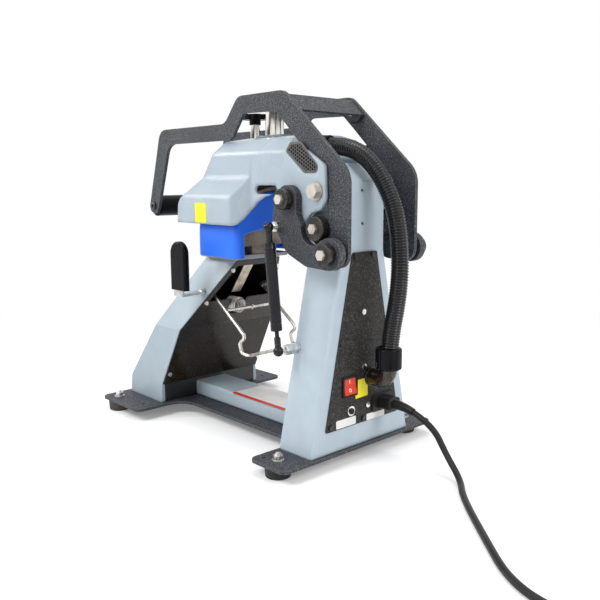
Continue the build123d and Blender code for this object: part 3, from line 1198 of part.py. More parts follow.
cord_radii = bend_radii(cord_points)
print("cord bend radii", [round(r, 1) for r in cord_radii])
coil_pitch = 2 * cord_r + coil_gap
low_quarters = 4 * coil_turns
coil_points, coil_tangents = [], []
for quarter in range(2 * low_quarters + 2):
    a = pi - pi / 2 * quarter
    low = quarter <= low_quarters
    r = coil_r - coil_pitch / 4 * (quarter if low else 2 * low_quarters + 1 - quarter)
    z = cord_r if low else cord_r + coil_pitch
    coil_points.append(Vector(coil_at[0] + r * cos(a), coil_at[1] + r * sin(a), z))
    coil_tangents.append(Vector(sin(a), -cos(a), 0))
main_plug_l, main_plug_w, main_plug_h, main_relief_l = 36.0, 27.0, 20.0, 26.0
tail_end = Vector(coil_points[-1].X + 62, coil_points[-1].Y + 1, main_plug_h / 2)
with BuildPart() as power_cord:
    with BuildLine() as cord_line:
        FilletPolyline(*cord_points, radius=cord_radii)
        wound_path(coil_points + [tail_end], coil_tangents + [Vector(1, 0, 0)])
    with BuildSketch(Plane(origin=cord_line.line @ 0, z_dir=cord_line.line % 0)):
        Circle(cord_r)
    sweep(path=cord_line.line)
power_cord.part.label = "power_cord"
export_step(power_cord.part, "parts/power_cord.step")
cord_length = sum(edge.length for edge in cord_line.edges())
print("cord length", round(cord_length), "mm, volume share",
      round(power_cord.part.volume / (pi * cord_r ** 2 * cord_length), 4))
on_coil = swept_path(coil_points + [tail_end], coil_tangents + [Vector(1, 0, 0)])
print("cord coil: least gap to itself", round(least_gap(on_coil, cord_r, 24), 2), "mm")

# Mains plug on the end of the cord, lying on the table with its blades level.
plug_x = tail_end.X
with BuildPart() as mains_plug:
    for x, r in ((plug_x, cord_r + 0.6), (plug_x + main_relief_l, 8.0)):
        with BuildSketch(Plane(origin=(x, tail_end.Y, tail_end.Z), x_dir=(0, 1, 0), z_dir=(1, 0, 0))):
            Circle(r)
    loft()
    body_x = plug_x + main_relief_l
    block((body_x - 1, body_x + main_plug_l), (tail_end.Y - main_plug_w / 2, tail_end.Y + main_plug_w / 2),
          (0, main_plug_h))
    fillet(mains_plug.edges().filter_by(Axis.X), 5)
    for y in (-6.35, 6.35):
        blade_y = (tail_end.Y + y - 0.75, tail_end.Y + y + 0.75)
        block((body_x + main_plug_l, body_x + main_plug_l + 17), blade_y, (tail_end.Z - 5, tail_end.Z + 1.4))
    rod_x(body_x + main_plug_l, body_x + main_plug_l + 20, (tail_end.Y, tail_end.Z + 6), 2.4)
mains_plug.part.label = "mains_plug"
export_step(mains_plug.part, "parts/mains_plug.step")
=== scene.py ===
# Cap heat press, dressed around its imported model: painted castings, speckled black steel, a blue
# rubber sleeve on the saddle platen, a ribbed conduit, a bright bail with its spring, and the lead.
from math import cos, pi, sin

import bpy
import numpy as np
from mathutils import Matrix, Vector


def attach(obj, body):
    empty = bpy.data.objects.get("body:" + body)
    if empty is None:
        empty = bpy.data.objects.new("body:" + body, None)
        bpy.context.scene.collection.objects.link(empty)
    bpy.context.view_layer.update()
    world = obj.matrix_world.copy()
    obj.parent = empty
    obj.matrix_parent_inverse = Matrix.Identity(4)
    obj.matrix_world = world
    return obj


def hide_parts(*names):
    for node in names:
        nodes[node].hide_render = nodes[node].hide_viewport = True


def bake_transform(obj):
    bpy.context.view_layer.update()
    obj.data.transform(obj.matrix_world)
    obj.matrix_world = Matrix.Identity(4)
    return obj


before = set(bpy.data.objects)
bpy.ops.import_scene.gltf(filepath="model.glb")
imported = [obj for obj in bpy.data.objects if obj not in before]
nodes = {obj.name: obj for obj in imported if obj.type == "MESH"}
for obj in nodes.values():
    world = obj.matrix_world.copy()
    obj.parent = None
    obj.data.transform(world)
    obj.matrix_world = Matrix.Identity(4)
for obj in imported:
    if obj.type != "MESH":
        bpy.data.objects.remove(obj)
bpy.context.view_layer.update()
scene = bpy.context.scene
scene.view_settings.view_transform = "Standard"

# Camera: it stands behind the machine, on its right and a little above the platen, so that the
# right side and the rear panel both show. The lens gives the photograph's framing on 600 pixels.
camera_at = Vector((0.7867, 0.9232, 0.4142))
camera_right = Vector((-0.73112, 0.68224, -0.00401))
camera_up = Vector((-0.11291, -0.11520, 0.98690))
camera_data = bpy.data.cameras.new("camera")
camera_data.sensor_width = 36.0
camera_data.lens = 43.62
camera = bpy.data.objects.new("camera", camera_data)
camera_back = camera_right.cross(camera_up)
camera_turn = Matrix((camera_right, camera_up, camera_back)).transposed().to_4x4()
camera.matrix_world = Matrix.Translation(camera_at) @ camera_turn
scene.collection.objects.link(camera)
scene.camera = camera

# Mains lead: a round black cord that droops out of the appliance plug, runs over the table behind
# the machine and ends in a neat coil of two layers with the mains plug beside it.
cord_r, cord_length = 0.0046, 1.80
cord_rings, cord_sides = 700, 18
cord_route = [
    (-0.042, 0.279, 0.0756), (-0.042, 0.3151, 0.0639), (-0.039, 0.342, 0.028), (-0.026, 0.376, 0.0046),
    (0.016, 0.408, 0.0046), (0.080, 0.477, 0.0046), (0.166, 0.574, 0.0046)]
coil_centre, coil_outer_r, coil_pitch = (0.224, 0.662), 0.058, 0.0104
coil_turn_points = 12
coil_low_turns, coil_climb_turns = 2.0, 0.25
curve_pull_in = 1 / cos(pi / coil_turn_points)
coil_all_turns = 2 * coil_low_turns + coil_climb_turns
for k in range(int(coil_all_turns * coil_turn_points) + 1):
    turn = k / coil_turn_points
    low = turn <= coil_low_turns
    wound_r = coil_outer_r - coil_pitch * (turn if low else min(coil_low_turns, coil_all_turns - turn))
    climb = min(1.0, max(0.0, (turn - coil_low_turns) / coil_climb_turns))
    angle = pi - 2 * pi * turn
    reach = wound_r * (curve_pull_in if k else 1.0)
    cord_route.append((coil_centre[0] + reach * cos(angle), coil_centre[1] + reach * sin(angle),
                       cord_r + climb * coil_pitch))
cord_route += [(0.248, 0.7205, 0.0125), (0.286, 0.721, 0.010)]


def laid_line(name, points):
    """A smooth line with the points as the control points of one quadratic NURBS spline."""
    data = bpy.data.curves.new(name, "CURVE")
    data.dimensions = "3D"
    data.resolution_u = 12
    spline = data.splines.new("NURBS")
    spline.points.add(len(points) - 1)
    spline.points.foreach_set("co", np.hstack([points, np.ones((len(points), 1))]).ravel())
    spline.order_u = 3
    spline.use_endpoint_u = True
    made = bpy.data.objects.new(name, data)
    scene.collection.objects.link(made)
    return made


def read_line(line):
    """The points of a laid line, evenly spaced along it."""
    drawn = bpy.data.meshes.new_from_object(line)
    along = np.empty(len(drawn.vertices) * 3)
    drawn.vertices.foreach_get("co", along)
    return along.reshape(-1, 3)


def respaced(points, number):
    """The same polyline with a number of points at equal distances, found by linear steps in each
    coordinate, and its length."""
    reach = np.concatenate([[0], np.cumsum(np.linalg.norm(np.diff(points, axis=0), axis=1))])
    wanted = np.linspace(0, reach[-1], number)
    return np.stack([np.interp(wanted, reach, points[:, k]) for k in range(3)], axis=1), reach[-1]


def grid_piece(name, rings, closed_ends=True):
    """A mesh through an array of rings (along, round, xyz), with a face fan closing each end."""
    along, sides = rings.shape[:2]
    index = np.arange(along * sides).reshape(along, sides)
    ahead = np.roll(index, -1, axis=1)
    quads = np.stack([index[:-1], ahead[:-1], ahead[1:], index[1:]], axis=-1).reshape(-1, 4)
    faces = quads.tolist()
    if closed_ends:
        faces += [index[0, ::-1].tolist(), index[-1].tolist()]
    mesh = bpy.data.meshes.new(name)
    mesh.from_pydata(rings.reshape(-1, 3), [], faces)
    mesh.shade_smooth()
    made = bpy.data.objects.new(name, mesh)
    scene.collection.objects.link(made)
    return made


def tube_rings(points, radii, sides, across):
    """Circles of the given radii round a path: a ring's first direction is the across vector made
    square to the path, and its second is their cross product."""
    way = np.gradient(points, axis=0)
    way /= np.linalg.norm(way, axis=1)[:, None]
    first = across - way * (way @ across)[:, None]
    first /= np.linalg.norm(first, axis=1)[:, None]
    second = np.cross(way, first)
    turn = np.linspace(0, 2 * pi, sides, endpoint=False)[None, :, None]
    ring = np.cos(turn) * first[:, None] + np.sin(turn) * second[:, None]
    return points[:, None] + radii[:, None, None] * ring


cord_line = laid_line("cord_line", np.array(cord_route))
cord_path, _ = respaced(read_line(cord_line), cord_rings)
bpy.data.objects.remove(cord_line)
upward = np.array([0, 0, 1.0])
lead = grid_piece("mains_lead", tube_rings(cord_path, np.full(cord_rings, cord_r), cord_sides, upward))
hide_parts("power_cord")
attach(lead, "frame")

# Backdrop: a white table top under a white surround, lit by soft lamps on both sides and above. A
# small one in front on the right draws the bright lines along the head's folds.
floor_half = 4.0
table_mesh = bpy.data.meshes.new("table_top")
table_corners = [(floor_half * x, floor_half * y, 0) for x, y in ((-1, -1), (1, -1), (1, 1), (-1, 1))]
table_mesh.from_pydata(table_corners, [], [(0, 1, 2, 3)])
table_top = bpy.data.objects.new("table_top", table_mesh)
scene.collection.objects.link(table_top)


def put(tree, kind, sockets=None, **settings):
    """A shader node of one kind. Each socket named or numbered takes a value or another node's output."""
    made = tree.nodes.new("ShaderNode" + kind)
    for key, value in settings.items():
        setattr(made, key, value)
    for key, value in (sockets or {}).items():
        if isinstance(value, bpy.types.NodeSocket):
            tree.links.new(value, made.inputs[key])
        else:
            made.inputs[key].default_value = value
    return made


def reckoned(tree, operation, *values):
    """The result of one Math node on up to three values or outputs."""
    return put(tree, "Math", dict(enumerate(values)), operation=operation).outputs[0]


def finish(name, **constants):
    """A material with one Principled shader; constants are its sockets, written with underscores."""
    material = bpy.data.materials.new(name)
    material.use_nodes = True
    shader = material.node_tree.nodes["Principled BSDF"]
    for key, value in constants.items():
        socket = shader.inputs[key.replace("_", " ")]
        socket.default_value = (*value, 1.0) if socket.type == "RGBA" else value
    return material, material.node_tree, shader


def colour_between(tree, share, first, second):
    """The colour that lies the given share of the way from the first to the second."""
    mix = put(tree, "Mix", data_type="RGBA")
    for number, value in ((0, share), (6, first), (7, second)):
        if isinstance(value, bpy.types.NodeSocket):
            tree.links.new(value, mix.inputs[number])
        else:
            mix.inputs[number].default_value = (*value, 1.0) if isinstance(value, tuple) else value
    return mix.outputs[2]


def ramped(tree, value, low, high, to_low=0.0, to_high=1.0):
    """A value carried smoothly from one range to another and held at its ends."""
    spread = put(tree, "MapRange", {"Value": value, "From Min": low, "From Max": high, "To Min": to_low,
                                    "To Max": to_high}, interpolation_type="SMOOTHSTEP")
    return spread.outputs["Result"]


def seen_directly(tree):
    """One for camera, glossy and transmission rays, and nought for the light that falls on things."""
    rays = put(tree, "LightPath").outputs
    seen_or_mirrored = reckoned(tree, "MAXIMUM", rays["Is Camera Ray"], rays["Is Glossy Ray"])
    return reckoned(tree, "MAXIMUM", seen_or_mirrored, rays["Is Transmission Ray"])


# Seen directly, the white top glows a little round the machine, where it keeps the soft shadow, and
# turns into the white surround farther out.
glow_near, fade_from, fade_to, machine_middle = 0.17, 0.45, 1.5, (0.0, 0.15, 0.0)
table_dim, table_pale = (0.93, 0.93, 0.93), (0.96, 0.96, 0.96)
table_white, tree, shader = finish("table_white", Roughness=0.8, Specular_IOR_Level=0.2)
where = put(tree, "TexCoord").outputs["Object"]
cloud = put(tree, "TexNoise", {"Vector": where, "Scale": 3.0}).outputs["Fac"]
tree.links.new(colour_between(tree, cloud, table_dim, table_pale), shader.inputs["Base Color"])
shader.inputs["Emission Color"].default_value = (1, 1, 1, 1)
direct = seen_directly(tree)
tree.links.new(reckoned(tree, "MULTIPLY", direct, glow_near), shader.inputs["Emission Strength"])
away = put(tree, "VectorMath", {0: where, 1: machine_middle}, operation="DISTANCE").outputs["Value"]
far = reckoned(tree, "MULTIPLY", ramped(tree, away, fade_from, fade_to), direct)
plain_white = put(tree, "Emission", {"Color": (1, 1, 1, 1), "Strength": 1.0}).outputs[0]
blended = put(tree, "MixShader", {0: far, 1: shader.outputs["BSDF"], 2: plain_white})
tree.links.new(blended.outputs[0], tree.nodes["Material Output"].inputs["Surface"])
table_mesh.materials.append(table_white)

surround = bpy.data.worlds.new("surround")
surround.use_nodes = True
scene.world = surround
tree = surround.node_tree
light_level, seen_level = 0.50, 1.0
levels = {"Value": seen_directly(tree), "To Min": light_level, "To Max": seen_level}
strength = put(tree, "MapRange", levels).outputs["Result"]
tree.links.new(strength, tree.nodes["Background"].inputs["Strength"])
tree.nodes["Background"].inputs["Color"].default_value = (1, 1, 1, 1)


def soft_lamp(name, place, aim, size, power):
    """A square lamp at a place that faces a point."""
    data = bpy.data.lights.new(name, "AREA")
    data.shape = "SQUARE"
    data.size = size
    data.energy = power
    lamp = bpy.data.objects.new(name, data)
    lamp.location = place
    lamp.rotation_euler = (Vector(place) - Vector(aim)).to_track_quat("Z", "Y").to_euler()
    scene.collection.objects.link(lamp)


soft_lamp("key_lamp", (1.5, -0.1, 1.7), (0, 0, 0.25), 0.9, 22)
soft_lamp("side_lamp", (-0.4, 1.9, 1.4), (0, 0, 0.25), 0.9, 21)
soft_lamp("top_lamp", (-0.2, -0.2, 2.2), (0, 0, 0.3), 1.2, 13.5)
soft_lamp("crease_lamp", (1.06, -1.42, 1.04), (0.08, -0.05, 0.40), 0.32, 7.5)

# Base plate: one sheet of laser-cut steel under everything, with a fine black textured powder coat
# whose grain tops are painted paler, partly as its speckle and partly as painted glints. The arms,
# the toggle links and the cross brace have the same coat.


def shared(name, inputs, outputs):
    """An empty shader group with its input and output sockets, and its two end nodes."""
    group = bpy.data.node_groups.new(name, "ShaderNodeTree")
    for label, kind, value in inputs:
        socket = group.interface.new_socket(label, in_out="INPUT", socket_type=kind)
        socket.default_value = value
    for label, kind in outputs:
        group.interface.new_socket(label, in_out="OUTPUT", socket_type=kind)
    return group, group.nodes.new("NodeGroupInput").outputs, group.nodes.new("NodeGroupOutput").inputs


def use(tree, group, **values):
    """One use of a shared group, with its inputs by name."""
    made = tree.nodes.new("ShaderNodeGroup")
    made.node_tree = group
    for key, value in values.items():
        made.inputs[key.replace("_", " ")].default_value = value
    return made.outputs


# Grain: small bumps over a rounded edge, a mask of their tops for paler speckle and painted glints, and a
# slow change of tone.
grain_coat, given, out = shared(
    "grain_coat",
    [("Grain", "NodeSocketFloat", 900.0), ("Depth", "NodeSocketFloat", 0.0002),
     ("Edge", "NodeSocketFloat", 0.001)],
    [("Normal", "NodeSocketVector"), ("Speckle and glint", "NodeSocketFloat"), ("Tone", "NodeSocketFloat")])
where = put(grain_coat, "TexCoord").outputs["Object"]
bumps = put(grain_coat, "TexNoise", {"Vector": where, "Scale": given["Grain"], "Detail": 2.0}).outputs["Fac"]
rounded = put(grain_coat, "Bevel", {"Radius": given["Edge"]}, samples=4).outputs["Normal"]
relief = put(grain_coat, "Bump",
             {"Height": bumps, "Distance": given["Depth"], "Strength": 1.0, "Normal": rounded})
slow = put(grain_coat, "TexNoise", {"Vector": where, "Scale": 16.0, "Detail": 3.0}).outputs["Fac"]
grain_coat.links.new(relief.outputs["Normal"], out["Normal"])
grain_coat.links.new(ramped(grain_coat, bumps, 0.5, 0.72), out["Speckle and glint"])
grain_coat.links.new(slow, out["Tone"])

# Edge mask for wear and painted highlight: where the true surface turns away from a widely rounded one, an
# edge stands out.
edge_wear_and_highlight, given, out = shared("edge_wear_and_highlight", [("Width", "NodeSocketFloat", 0.0015)],
                                [("Mask", "NodeSocketFloat")])
rounded = put(edge_wear_and_highlight, "Bevel", {"Radius": given["Width"]}, samples=4).outputs["Normal"]
flat = put(edge_wear_and_highlight, "NewGeometry").outputs["Normal"]
facing = put(edge_wear_and_highlight, "VectorMath", {0: rounded, 1: flat}, operation="DOT_PRODUCT").outputs["Value"]
edge_wear_and_highlight.links.new(ramped(edge_wear_and_highlight, facing, 0.99, 0.86), out["Mask"])


def surfaced(tree, shader, tone, rough, normal):
    """Give a shader its colour, its roughness and its normal from three outputs."""
    for key, output in (("Base Color", tone), ("Roughness", rough), ("Normal", normal)):
        tree.links.new(output, shader.inputs[key])


def speckled(name, dark, speckle_and_glint_tone, edge_wear_and_highlight_tone, rough=0.5, grain=620.0):
    """Textured powder coat: dark ground, grain tops painted paler as speckle and glint, and paler edges,
    partly thin coat and partly painted highlight.
    """
    material, tree, shader = finish(name, Specular_IOR_Level=0.35)
    coat = use(tree, grain_coat, Grain=grain, Depth=0.0005, Edge=0.0012)
    edges = use(tree, edge_wear_and_highlight, Width=0.0016)
    # Grain tops painted paler: partly speckle, partly painted glint.
    ground = colour_between(tree, coat["Speckle and glint"], dark, speckle_and_glint_tone)
    shaded = colour_between(tree, ramped(tree, coat["Tone"], 0.35, 0.7, 0, 0.35), ground, dark)
    # Paler edges: partly thin coat, partly painted highlight.
    tone = colour_between(tree, edges["Mask"], shaded, edge_wear_and_highlight_tone)
    dulled = ramped(tree, coat["Speckle and glint"], 0, 1, rough + 0.08, rough - 0.1)
    surfaced(tree, shader, tone, dulled, coat["Normal"])
    return material


def dress(material, *names):
    """Give CAD nodes their material."""
    for name in names:
        for place in nodes[name].material_slots:
            place.material = material


black_speckle = speckled("black_speckle", (0.024, 0.027, 0.033), (0.190, 0.200, 0.225),
                         (0.15, 0.145, 0.14))
dress(black_speckle, "base_plate", "arm_right", "arm_left", "link_right", "link_left", "cross_brace")

# Feet: four moulded rubber pads under the plate's corners, each on a stud. The black is duller than
# the plate's and has a chalky bloom.
foot_rubber, tree, shader = finish("foot_rubber", Specular_IOR_Level=0.35)
coat = use(tree, grain_coat, Grain=260.0, Depth=0.0002, Edge=0.0015)
bloom = colour_between(tree, ramped(tree, coat["Tone"], 0.4, 0.7), (0.022, 0.020, 0.019),
                       (0.060, 0.052, 0.046))
surfaced(tree, shader, bloom, ramped(tree, coat["Speckle and glint"], 0, 1, 0.62, 0.8), coat["Normal"])
dress(foot_rubber, "rubber_feet")

# Bright fasteners and the bent wire: zinc-plated or polished steel with faint drawn lines and
# darker patches in the plating.
drawn_metal, given, out = shared(
    "drawn_metal",
    [("Fine", "NodeSocketFloat", 500.0), ("Depth", "NodeSocketFloat", 0.00003),
     ("Edge", "NodeSocketFloat", 0.0005), ("Stretch", "NodeSocketVector", (1.0, 1.0, 0.08))],
    [("Normal", "NodeSocketVector"), ("Lines", "NodeSocketFloat"), ("Patches", "NodeSocketFloat")])
where = put(drawn_metal, "TexCoord").outputs["Object"]
along = put(drawn_metal, "VectorMath", {0: where, 1: given["Stretch"]}, operation="MULTIPLY").outputs[0]
lines = put(drawn_metal, "TexNoise", {"Vector": along, "Scale": given["Fine"], "Detail": 3.0}).outputs["Fac"]
rounded = put(drawn_metal, "Bevel", {"Radius": given["Edge"]}, samples=4).outputs["Normal"]
relief = put(drawn_metal, "Bump",
             {"Height": lines, "Distance": given["Depth"], "Strength": 1.0, "Normal": rounded})
patches = put(drawn_metal, "TexNoise", {"Vector": where, "Scale": 60.0, "Detail": 2.0}).outputs["Fac"]
drawn_metal.links.new(relief.outputs["Normal"], out["Normal"])
drawn_metal.links.new(lines, out["Lines"])
drawn_metal.links.new(patches, out["Patches"])


def bare_metal(name, pale, dim, rough, stretch=(1.0, 1.0, 0.08), depth=0.00003):
    """Uncoated or plated metal between a pale and a dim tone."""
    material, tree, shader = finish(name, Metallic=1.0)
    metal = use(tree, drawn_metal, Depth=depth, Stretch=stretch)
    tone = colour_between(tree, ramped(tree, metal["Patches"], 0.38, 0.66), pale, dim)
    surfaced(tree, shader, tone, ramped(tree, metal["Lines"], 0.3, 0.7, rough, rough + 0.14), metal["Normal"])
    return material


zinc = bare_metal("zinc", (0.80, 0.79, 0.77), (0.50, 0.49, 0.47), 0.24)
dress(zinc, "foot_studs", "frame_bolts", "pedestal_screws", "gas_lower_stud", "gas_upper_stud",
      "spring_anchor")
drawn_wire = bare_metal("drawn_wire", (0.78, 0.75, 0.70), (0.52, 0.49, 0.45), 0.25)
dress(drawn_wire, "wire_bail")
lever_steel = bare_metal("lever_steel", (0.66, 0.68, 0.70), (0.46, 0.47, 0.48), 0.3)
dress(lever_steel, "hold_lever")
unstretched = (1.0, 1.0, 1.0)
pale_hexagon = bare_metal("pale_hexagon", (0.60, 0.57, 0.52), (0.44, 0.41, 0.37), 0.42, unstretched)
dress(pale_hexagon, "pivot_bolts", "hinge_bolts", "upper_bolts", "lower_bolts")

# Painted castings and sheet: the head, the column, the spine and the pedestal's top plate have a
# pale blue-grey enamel, a little orange-peeled, with a painted highlight on its edges and a faint
# mottle. The head's is glossier than the sheet metal's.
peel_coat, given, out = shared(
    "peel_coat", [("Edge", "NodeSocketFloat", 0.003)],
    [("Normal", "NodeSocketVector"), ("Mottle", "NodeSocketFloat"), ("Smear", "NodeSocketFloat")])
where = put(peel_coat, "TexCoord").outputs["Object"]
peel = put(peel_coat, "TexNoise", {"Vector": where, "Scale": 420.0, "Detail": 1.0}).outputs["Fac"]
rounded = put(peel_coat, "Bevel", {"Radius": given["Edge"]}, samples=6).outputs["Normal"]
relief = put(peel_coat, "Bump", {"Height": peel, "Distance": 0.00006, "Strength": 1.0, "Normal": rounded})
mottle = put(peel_coat, "TexNoise", {"Vector": where, "Scale": 38.0, "Detail": 4.0}).outputs["Fac"]
smear = put(peel_coat, "TexNoise", {"Vector": where, "Scale": 9.0, "Detail": 2.0}).outputs["Fac"]
peel_coat.links.new(relief.outputs["Normal"], out["Normal"])
peel_coat.links.new(mottle, out["Mottle"])
peel_coat.links.new(smear, out["Smear"])


def enamel(name, pale, deep, edge_r, rough):
    """Pale enamel that deepens in slow clouds and has a painted highlight on its rounded edges."""
    material, tree, shader = finish(name, Specular_IOR_Level=0.55, Coat_Weight=0.1, Coat_Roughness=0.2)
    coat = use(tree, peel_coat, Edge=edge_r)
    edges = use(tree, edge_wear_and_highlight, Width=edge_r * 0.6)
    clouded = colour_between(tree, ramped(tree, coat["Mottle"], 0.3, 0.7), pale, deep)
    paler = tuple(min(1.0, c * 1.22) for c in pale)
    # Painted highlight: the enamel turns paler on its rounded edges.
    on_edges = ramped(tree, edges["Mask"], 0, 1, 0, 0.6)
    tone = colour_between(tree, on_edges, clouded, paler)
    surfaced(tree, shader, tone, ramped(tree, coat["Smear"], 0.3, 0.7, rough, rough + 0.08), coat["Normal"])
    return material


cast_enamel = enamel("cast_enamel", (0.39, 0.465, 0.523), (0.365, 0.44, 0.50), 0.009, 0.23)
dress(cast_enamel, "head_housing", "guide_pad")
sheet_enamel = enamel("sheet_enamel", (0.455, 0.545, 0.612), (0.425, 0.515, 0.583), 0.003, 0.36)
dress(sheet_enamel, "spine_tube", "column")
plate_enamel = enamel("plate_enamel", (0.40, 0.42, 0.43), (0.30, 0.30, 0.30), 0.002, 0.30)
dress(plate_enamel, "pedestal_top_plate")

# Pedestal shell: the same enamel, made a little deeper outside as painted shade on its faces, and
# painted near black as shade on the inner faces of the recess. Its walls lean, so a place is inside
# where it is nearer the middle than each wall.
# Painted shade: this copy of the enamel is deeper than the column's.
shell_enamel_painted_shade = enamel("shell_enamel_painted_shade", (0.345, 0.42, 0.475), (0.32, 0.395, 0.45), 0.003, 0.40)
tree = shell_enamel_painted_shade.node_tree
x, y, z = put(tree, "SeparateXYZ", {0: put(tree, "TexCoord").outputs["Object"]}).outputs


def below(tree, value, base, slope, height):
    """One where the value is less than base + slope * height, and nought elsewhere."""
    return reckoned(tree, "LESS_THAN", value, reckoned(tree, "MULTIPLY_ADD", height, slope, base))


def overpainted(material, mask, colour):
    """Paint a plain colour over the material's own where the mask is one."""
    base = material.node_tree.nodes["Principled BSDF"].inputs["Base Color"]
    both = colour_between(material.node_tree, mask, base.links[0].from_socket, colour)
    material.node_tree.links.new(both, base)


wall, bend_z, shell_top_z = 0.0014, 0.162, 0.288
side_x, side_lean = 0.104, -0.058
rear_y, rear_lean = -0.113, 0.091
front_y, front_lean = -0.188, 0.082
up = ramped(tree, z, bend_z, shell_top_z)
up.node.interpolation_type = "LINEAR"
painted_shade_inside = below(tree, reckoned(tree, "ABSOLUTE", x), side_x - wall, side_lean, up)
before_rear = below(tree, y, rear_y - wall, rear_lean, up)
behind_front = below(tree, reckoned(tree, "MULTIPLY", y, -1.0), -front_y - wall, -front_lean, up)
for test in (before_rear, behind_front):
    painted_shade_inside = reckoned(tree, "MULTIPLY", painted_shade_inside, test)
# Painted shade: the recess's inner faces are coloured near black.
overpainted(shell_enamel_painted_shade, painted_shade_inside, (0.006, 0.006, 0.007))
dress(shell_enamel_painted_shade, "pedestal_shell")

# Pedestal cover: a folded sheet that closes the leaning shell's rear, held by small screws. Its
# glossy brown-black enamel mirrors the room.
gloss_sheet, tree, shader = finish("gloss_sheet", Specular_IOR_Level=0.3, Coat_Weight=0.12,
                                   Coat_Roughness=0.12)
coat = use(tree, peel_coat, Edge=0.001)
tone = colour_between(tree, ramped(tree, coat["Smear"], 0.35, 0.65), (0.009, 0.007, 0.005),
                      (0.022, 0.015, 0.008))
surfaced(tree, shader, tone, ramped(tree, coat["Mottle"], 0.3, 0.7, 0.22, 0.34), coat["Normal"])
dress(gloss_sheet, "pedestal_cover")

# Strap beside the spring: a bare flat bar of warm bright steel that stands in the recess, scratched
# along its length.
strap_steel = bare_metal("strap_steel", (0.62, 0.55, 0.45), (0.36, 0.31, 0.25), 0.3, (1.0, 0.1, 0.1))
dress(strap_steel, "spring_strap")

# Platens: two saddles of cast aluminium, the lower one fixed on the pedestal and the upper one hung
# from the head. Heat has browned them, with darker stains in blotches.


def browned(name, pale, dark):
    """Heat-stained casting, from a pale bronze to a dark brown in blotches."""
    material, tree, shader = finish(name)
    metal = use(tree, drawn_metal, Fine=300.0, Depth=0.00008, Edge=0.0015, Stretch=unstretched)
    tone = colour_between(tree, ramped(tree, metal["Patches"], 0.35, 0.7), pale, dark)
    tree.links.new(ramped(tree, metal["Patches"], 0.3, 0.7, 0.75, 0.35), shader.inputs["Metallic"])
    surfaced(tree, shader, tone, ramped(tree, metal["Lines"], 0.3, 0.7, 0.38, 0.6), metal["Normal"])
    return material


dress(browned("saddle_casting", (0.30, 0.25, 0.20), (0.16, 0.125, 0.095)), "lower_platen")
dress(browned("heated_casting", (0.30, 0.235, 0.18), (0.12, 0.085, 0.06)), "upper_platen")

# Platen cover: a thick sleeve of bright blue silicone rubber pulled over the saddle. The moulded
# shell is softened and swells a little between its edges; its skirt droops and waves.
sleeve_swell, sleeve_wave, hem_droop = 0.0007, 0.0008, 0.0008
skirt_top_z, wave_run = 0.334, 0.058
moulding = nodes["platen_cover"]
sleeve_mesh = moulding.data.copy()
sleeve_mesh.transform(moulding.matrix_world)
sleeve = bpy.data.objects.new("blue_sleeve", sleeve_mesh)
scene.collection.objects.link(sleeve)


def baked(piece):
    """The piece with its modifiers worked into its mesh."""
    bpy.context.view_layer.update()
    solid = bpy.data.meshes.new_from_object(piece.evaluated_get(bpy.context.evaluated_depsgraph_get()))
    piece.modifiers.clear()
    piece.data = solid
    return piece


weld = sleeve.modifiers.new("merge", "WELD")
weld.merge_threshold = 0.00002
remesh = sleeve.modifiers.new("even", "REMESH")
remesh.mode = "VOXEL"
remesh.voxel_size = 0.0016
remesh.use_smooth_shade = True
ease = sleeve.modifiers.new("ease", "SMOOTH")
ease.factor, ease.iterations = 0.5, 6
baked(sleeve)


def vertex_table(mesh, field):
    """One field of a mesh's vertices as rows of three."""
    table = np.empty(len(mesh.vertices) * 3)
    mesh.vertices.foreach_get(field, table)
    return table.reshape(-1, 3)


co, normal = vertex_table(sleeve.data, "co"), vertex_table(sleeve.data, "normal")
low, high = co.min(axis=0), co.max(axis=0)
# The swell is a product of half sines over the skirt's height and length; the wave runs along the
# hem, and the hem droops by its own sine.
skirt = np.clip((skirt_top_z - co[:, 2]) / (skirt_top_z - low[2]), 0, 1)
swell = np.sin(pi * skirt) * np.sin(pi * (co[:, 1] - low[1]) / (high[1] - low[1]))
wave = skirt ** 3 * np.sin(2 * pi * (co[:, 1] - low[1]) / wave_run + 0.7 * np.sin(co[:, 0] * 40))
side_push = (np.abs(normal[:, 0]) > 0.5) * np.sign(co[:, 0])
co[:, 0] += side_push * (sleeve_swell * swell + sleeve_wave * wave)
co[:, 2] = np.maximum(co[:, 2] - hem_droop * skirt ** 6 * (1 + np.sin(co[:, 1] * 95)), low[2])
sleeve.data.vertices.foreach_set("co", co.ravel())
sleeve.data.update()
blue_rubber, tree, shader = finish("blue_rubber", Subsurface_Weight=0.06, Subsurface_Scale=0.002,
                                   Subsurface_Radius=(0.2, 0.4, 1.0), Sheen_Weight=0.12, Sheen_Roughness=0.4)
coat = use(tree, peel_coat, Edge=0.001)
tone = colour_between(tree, ramped(tree, coat["Smear"], 0.3, 0.7), (0.004, 0.115, 0.78),
                      (0.010, 0.165, 0.88))
surfaced(tree, shader, tone, ramped(tree, coat["Mottle"], 0.3, 0.7, 0.42, 0.56), coat["Normal"])
sleeve.data.materials.clear()
sleeve.data.materials.append(blue_rubber)
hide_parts("platen_cover")
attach(sleeve, "frame")

# Chromed rods: the guide cylinder and the pressure spindle, with the warm cast of hard chrome; the
# breaker's threaded ring is plated, whiter.
hard_chrome = bare_metal("hard_chrome", (0.86, 0.84, 0.79), (0.76, 0.73, 0.67), 0.12, depth=0.000001)
dress(hard_chrome, "guide_cylinder", "pressure_spindle")
ring_chrome = bare_metal("ring_chrome", (0.85, 0.84, 0.83), (0.60, 0.59, 0.58), 0.12, depth=0.00001)
dress(ring_chrome, "breaker_barrel")
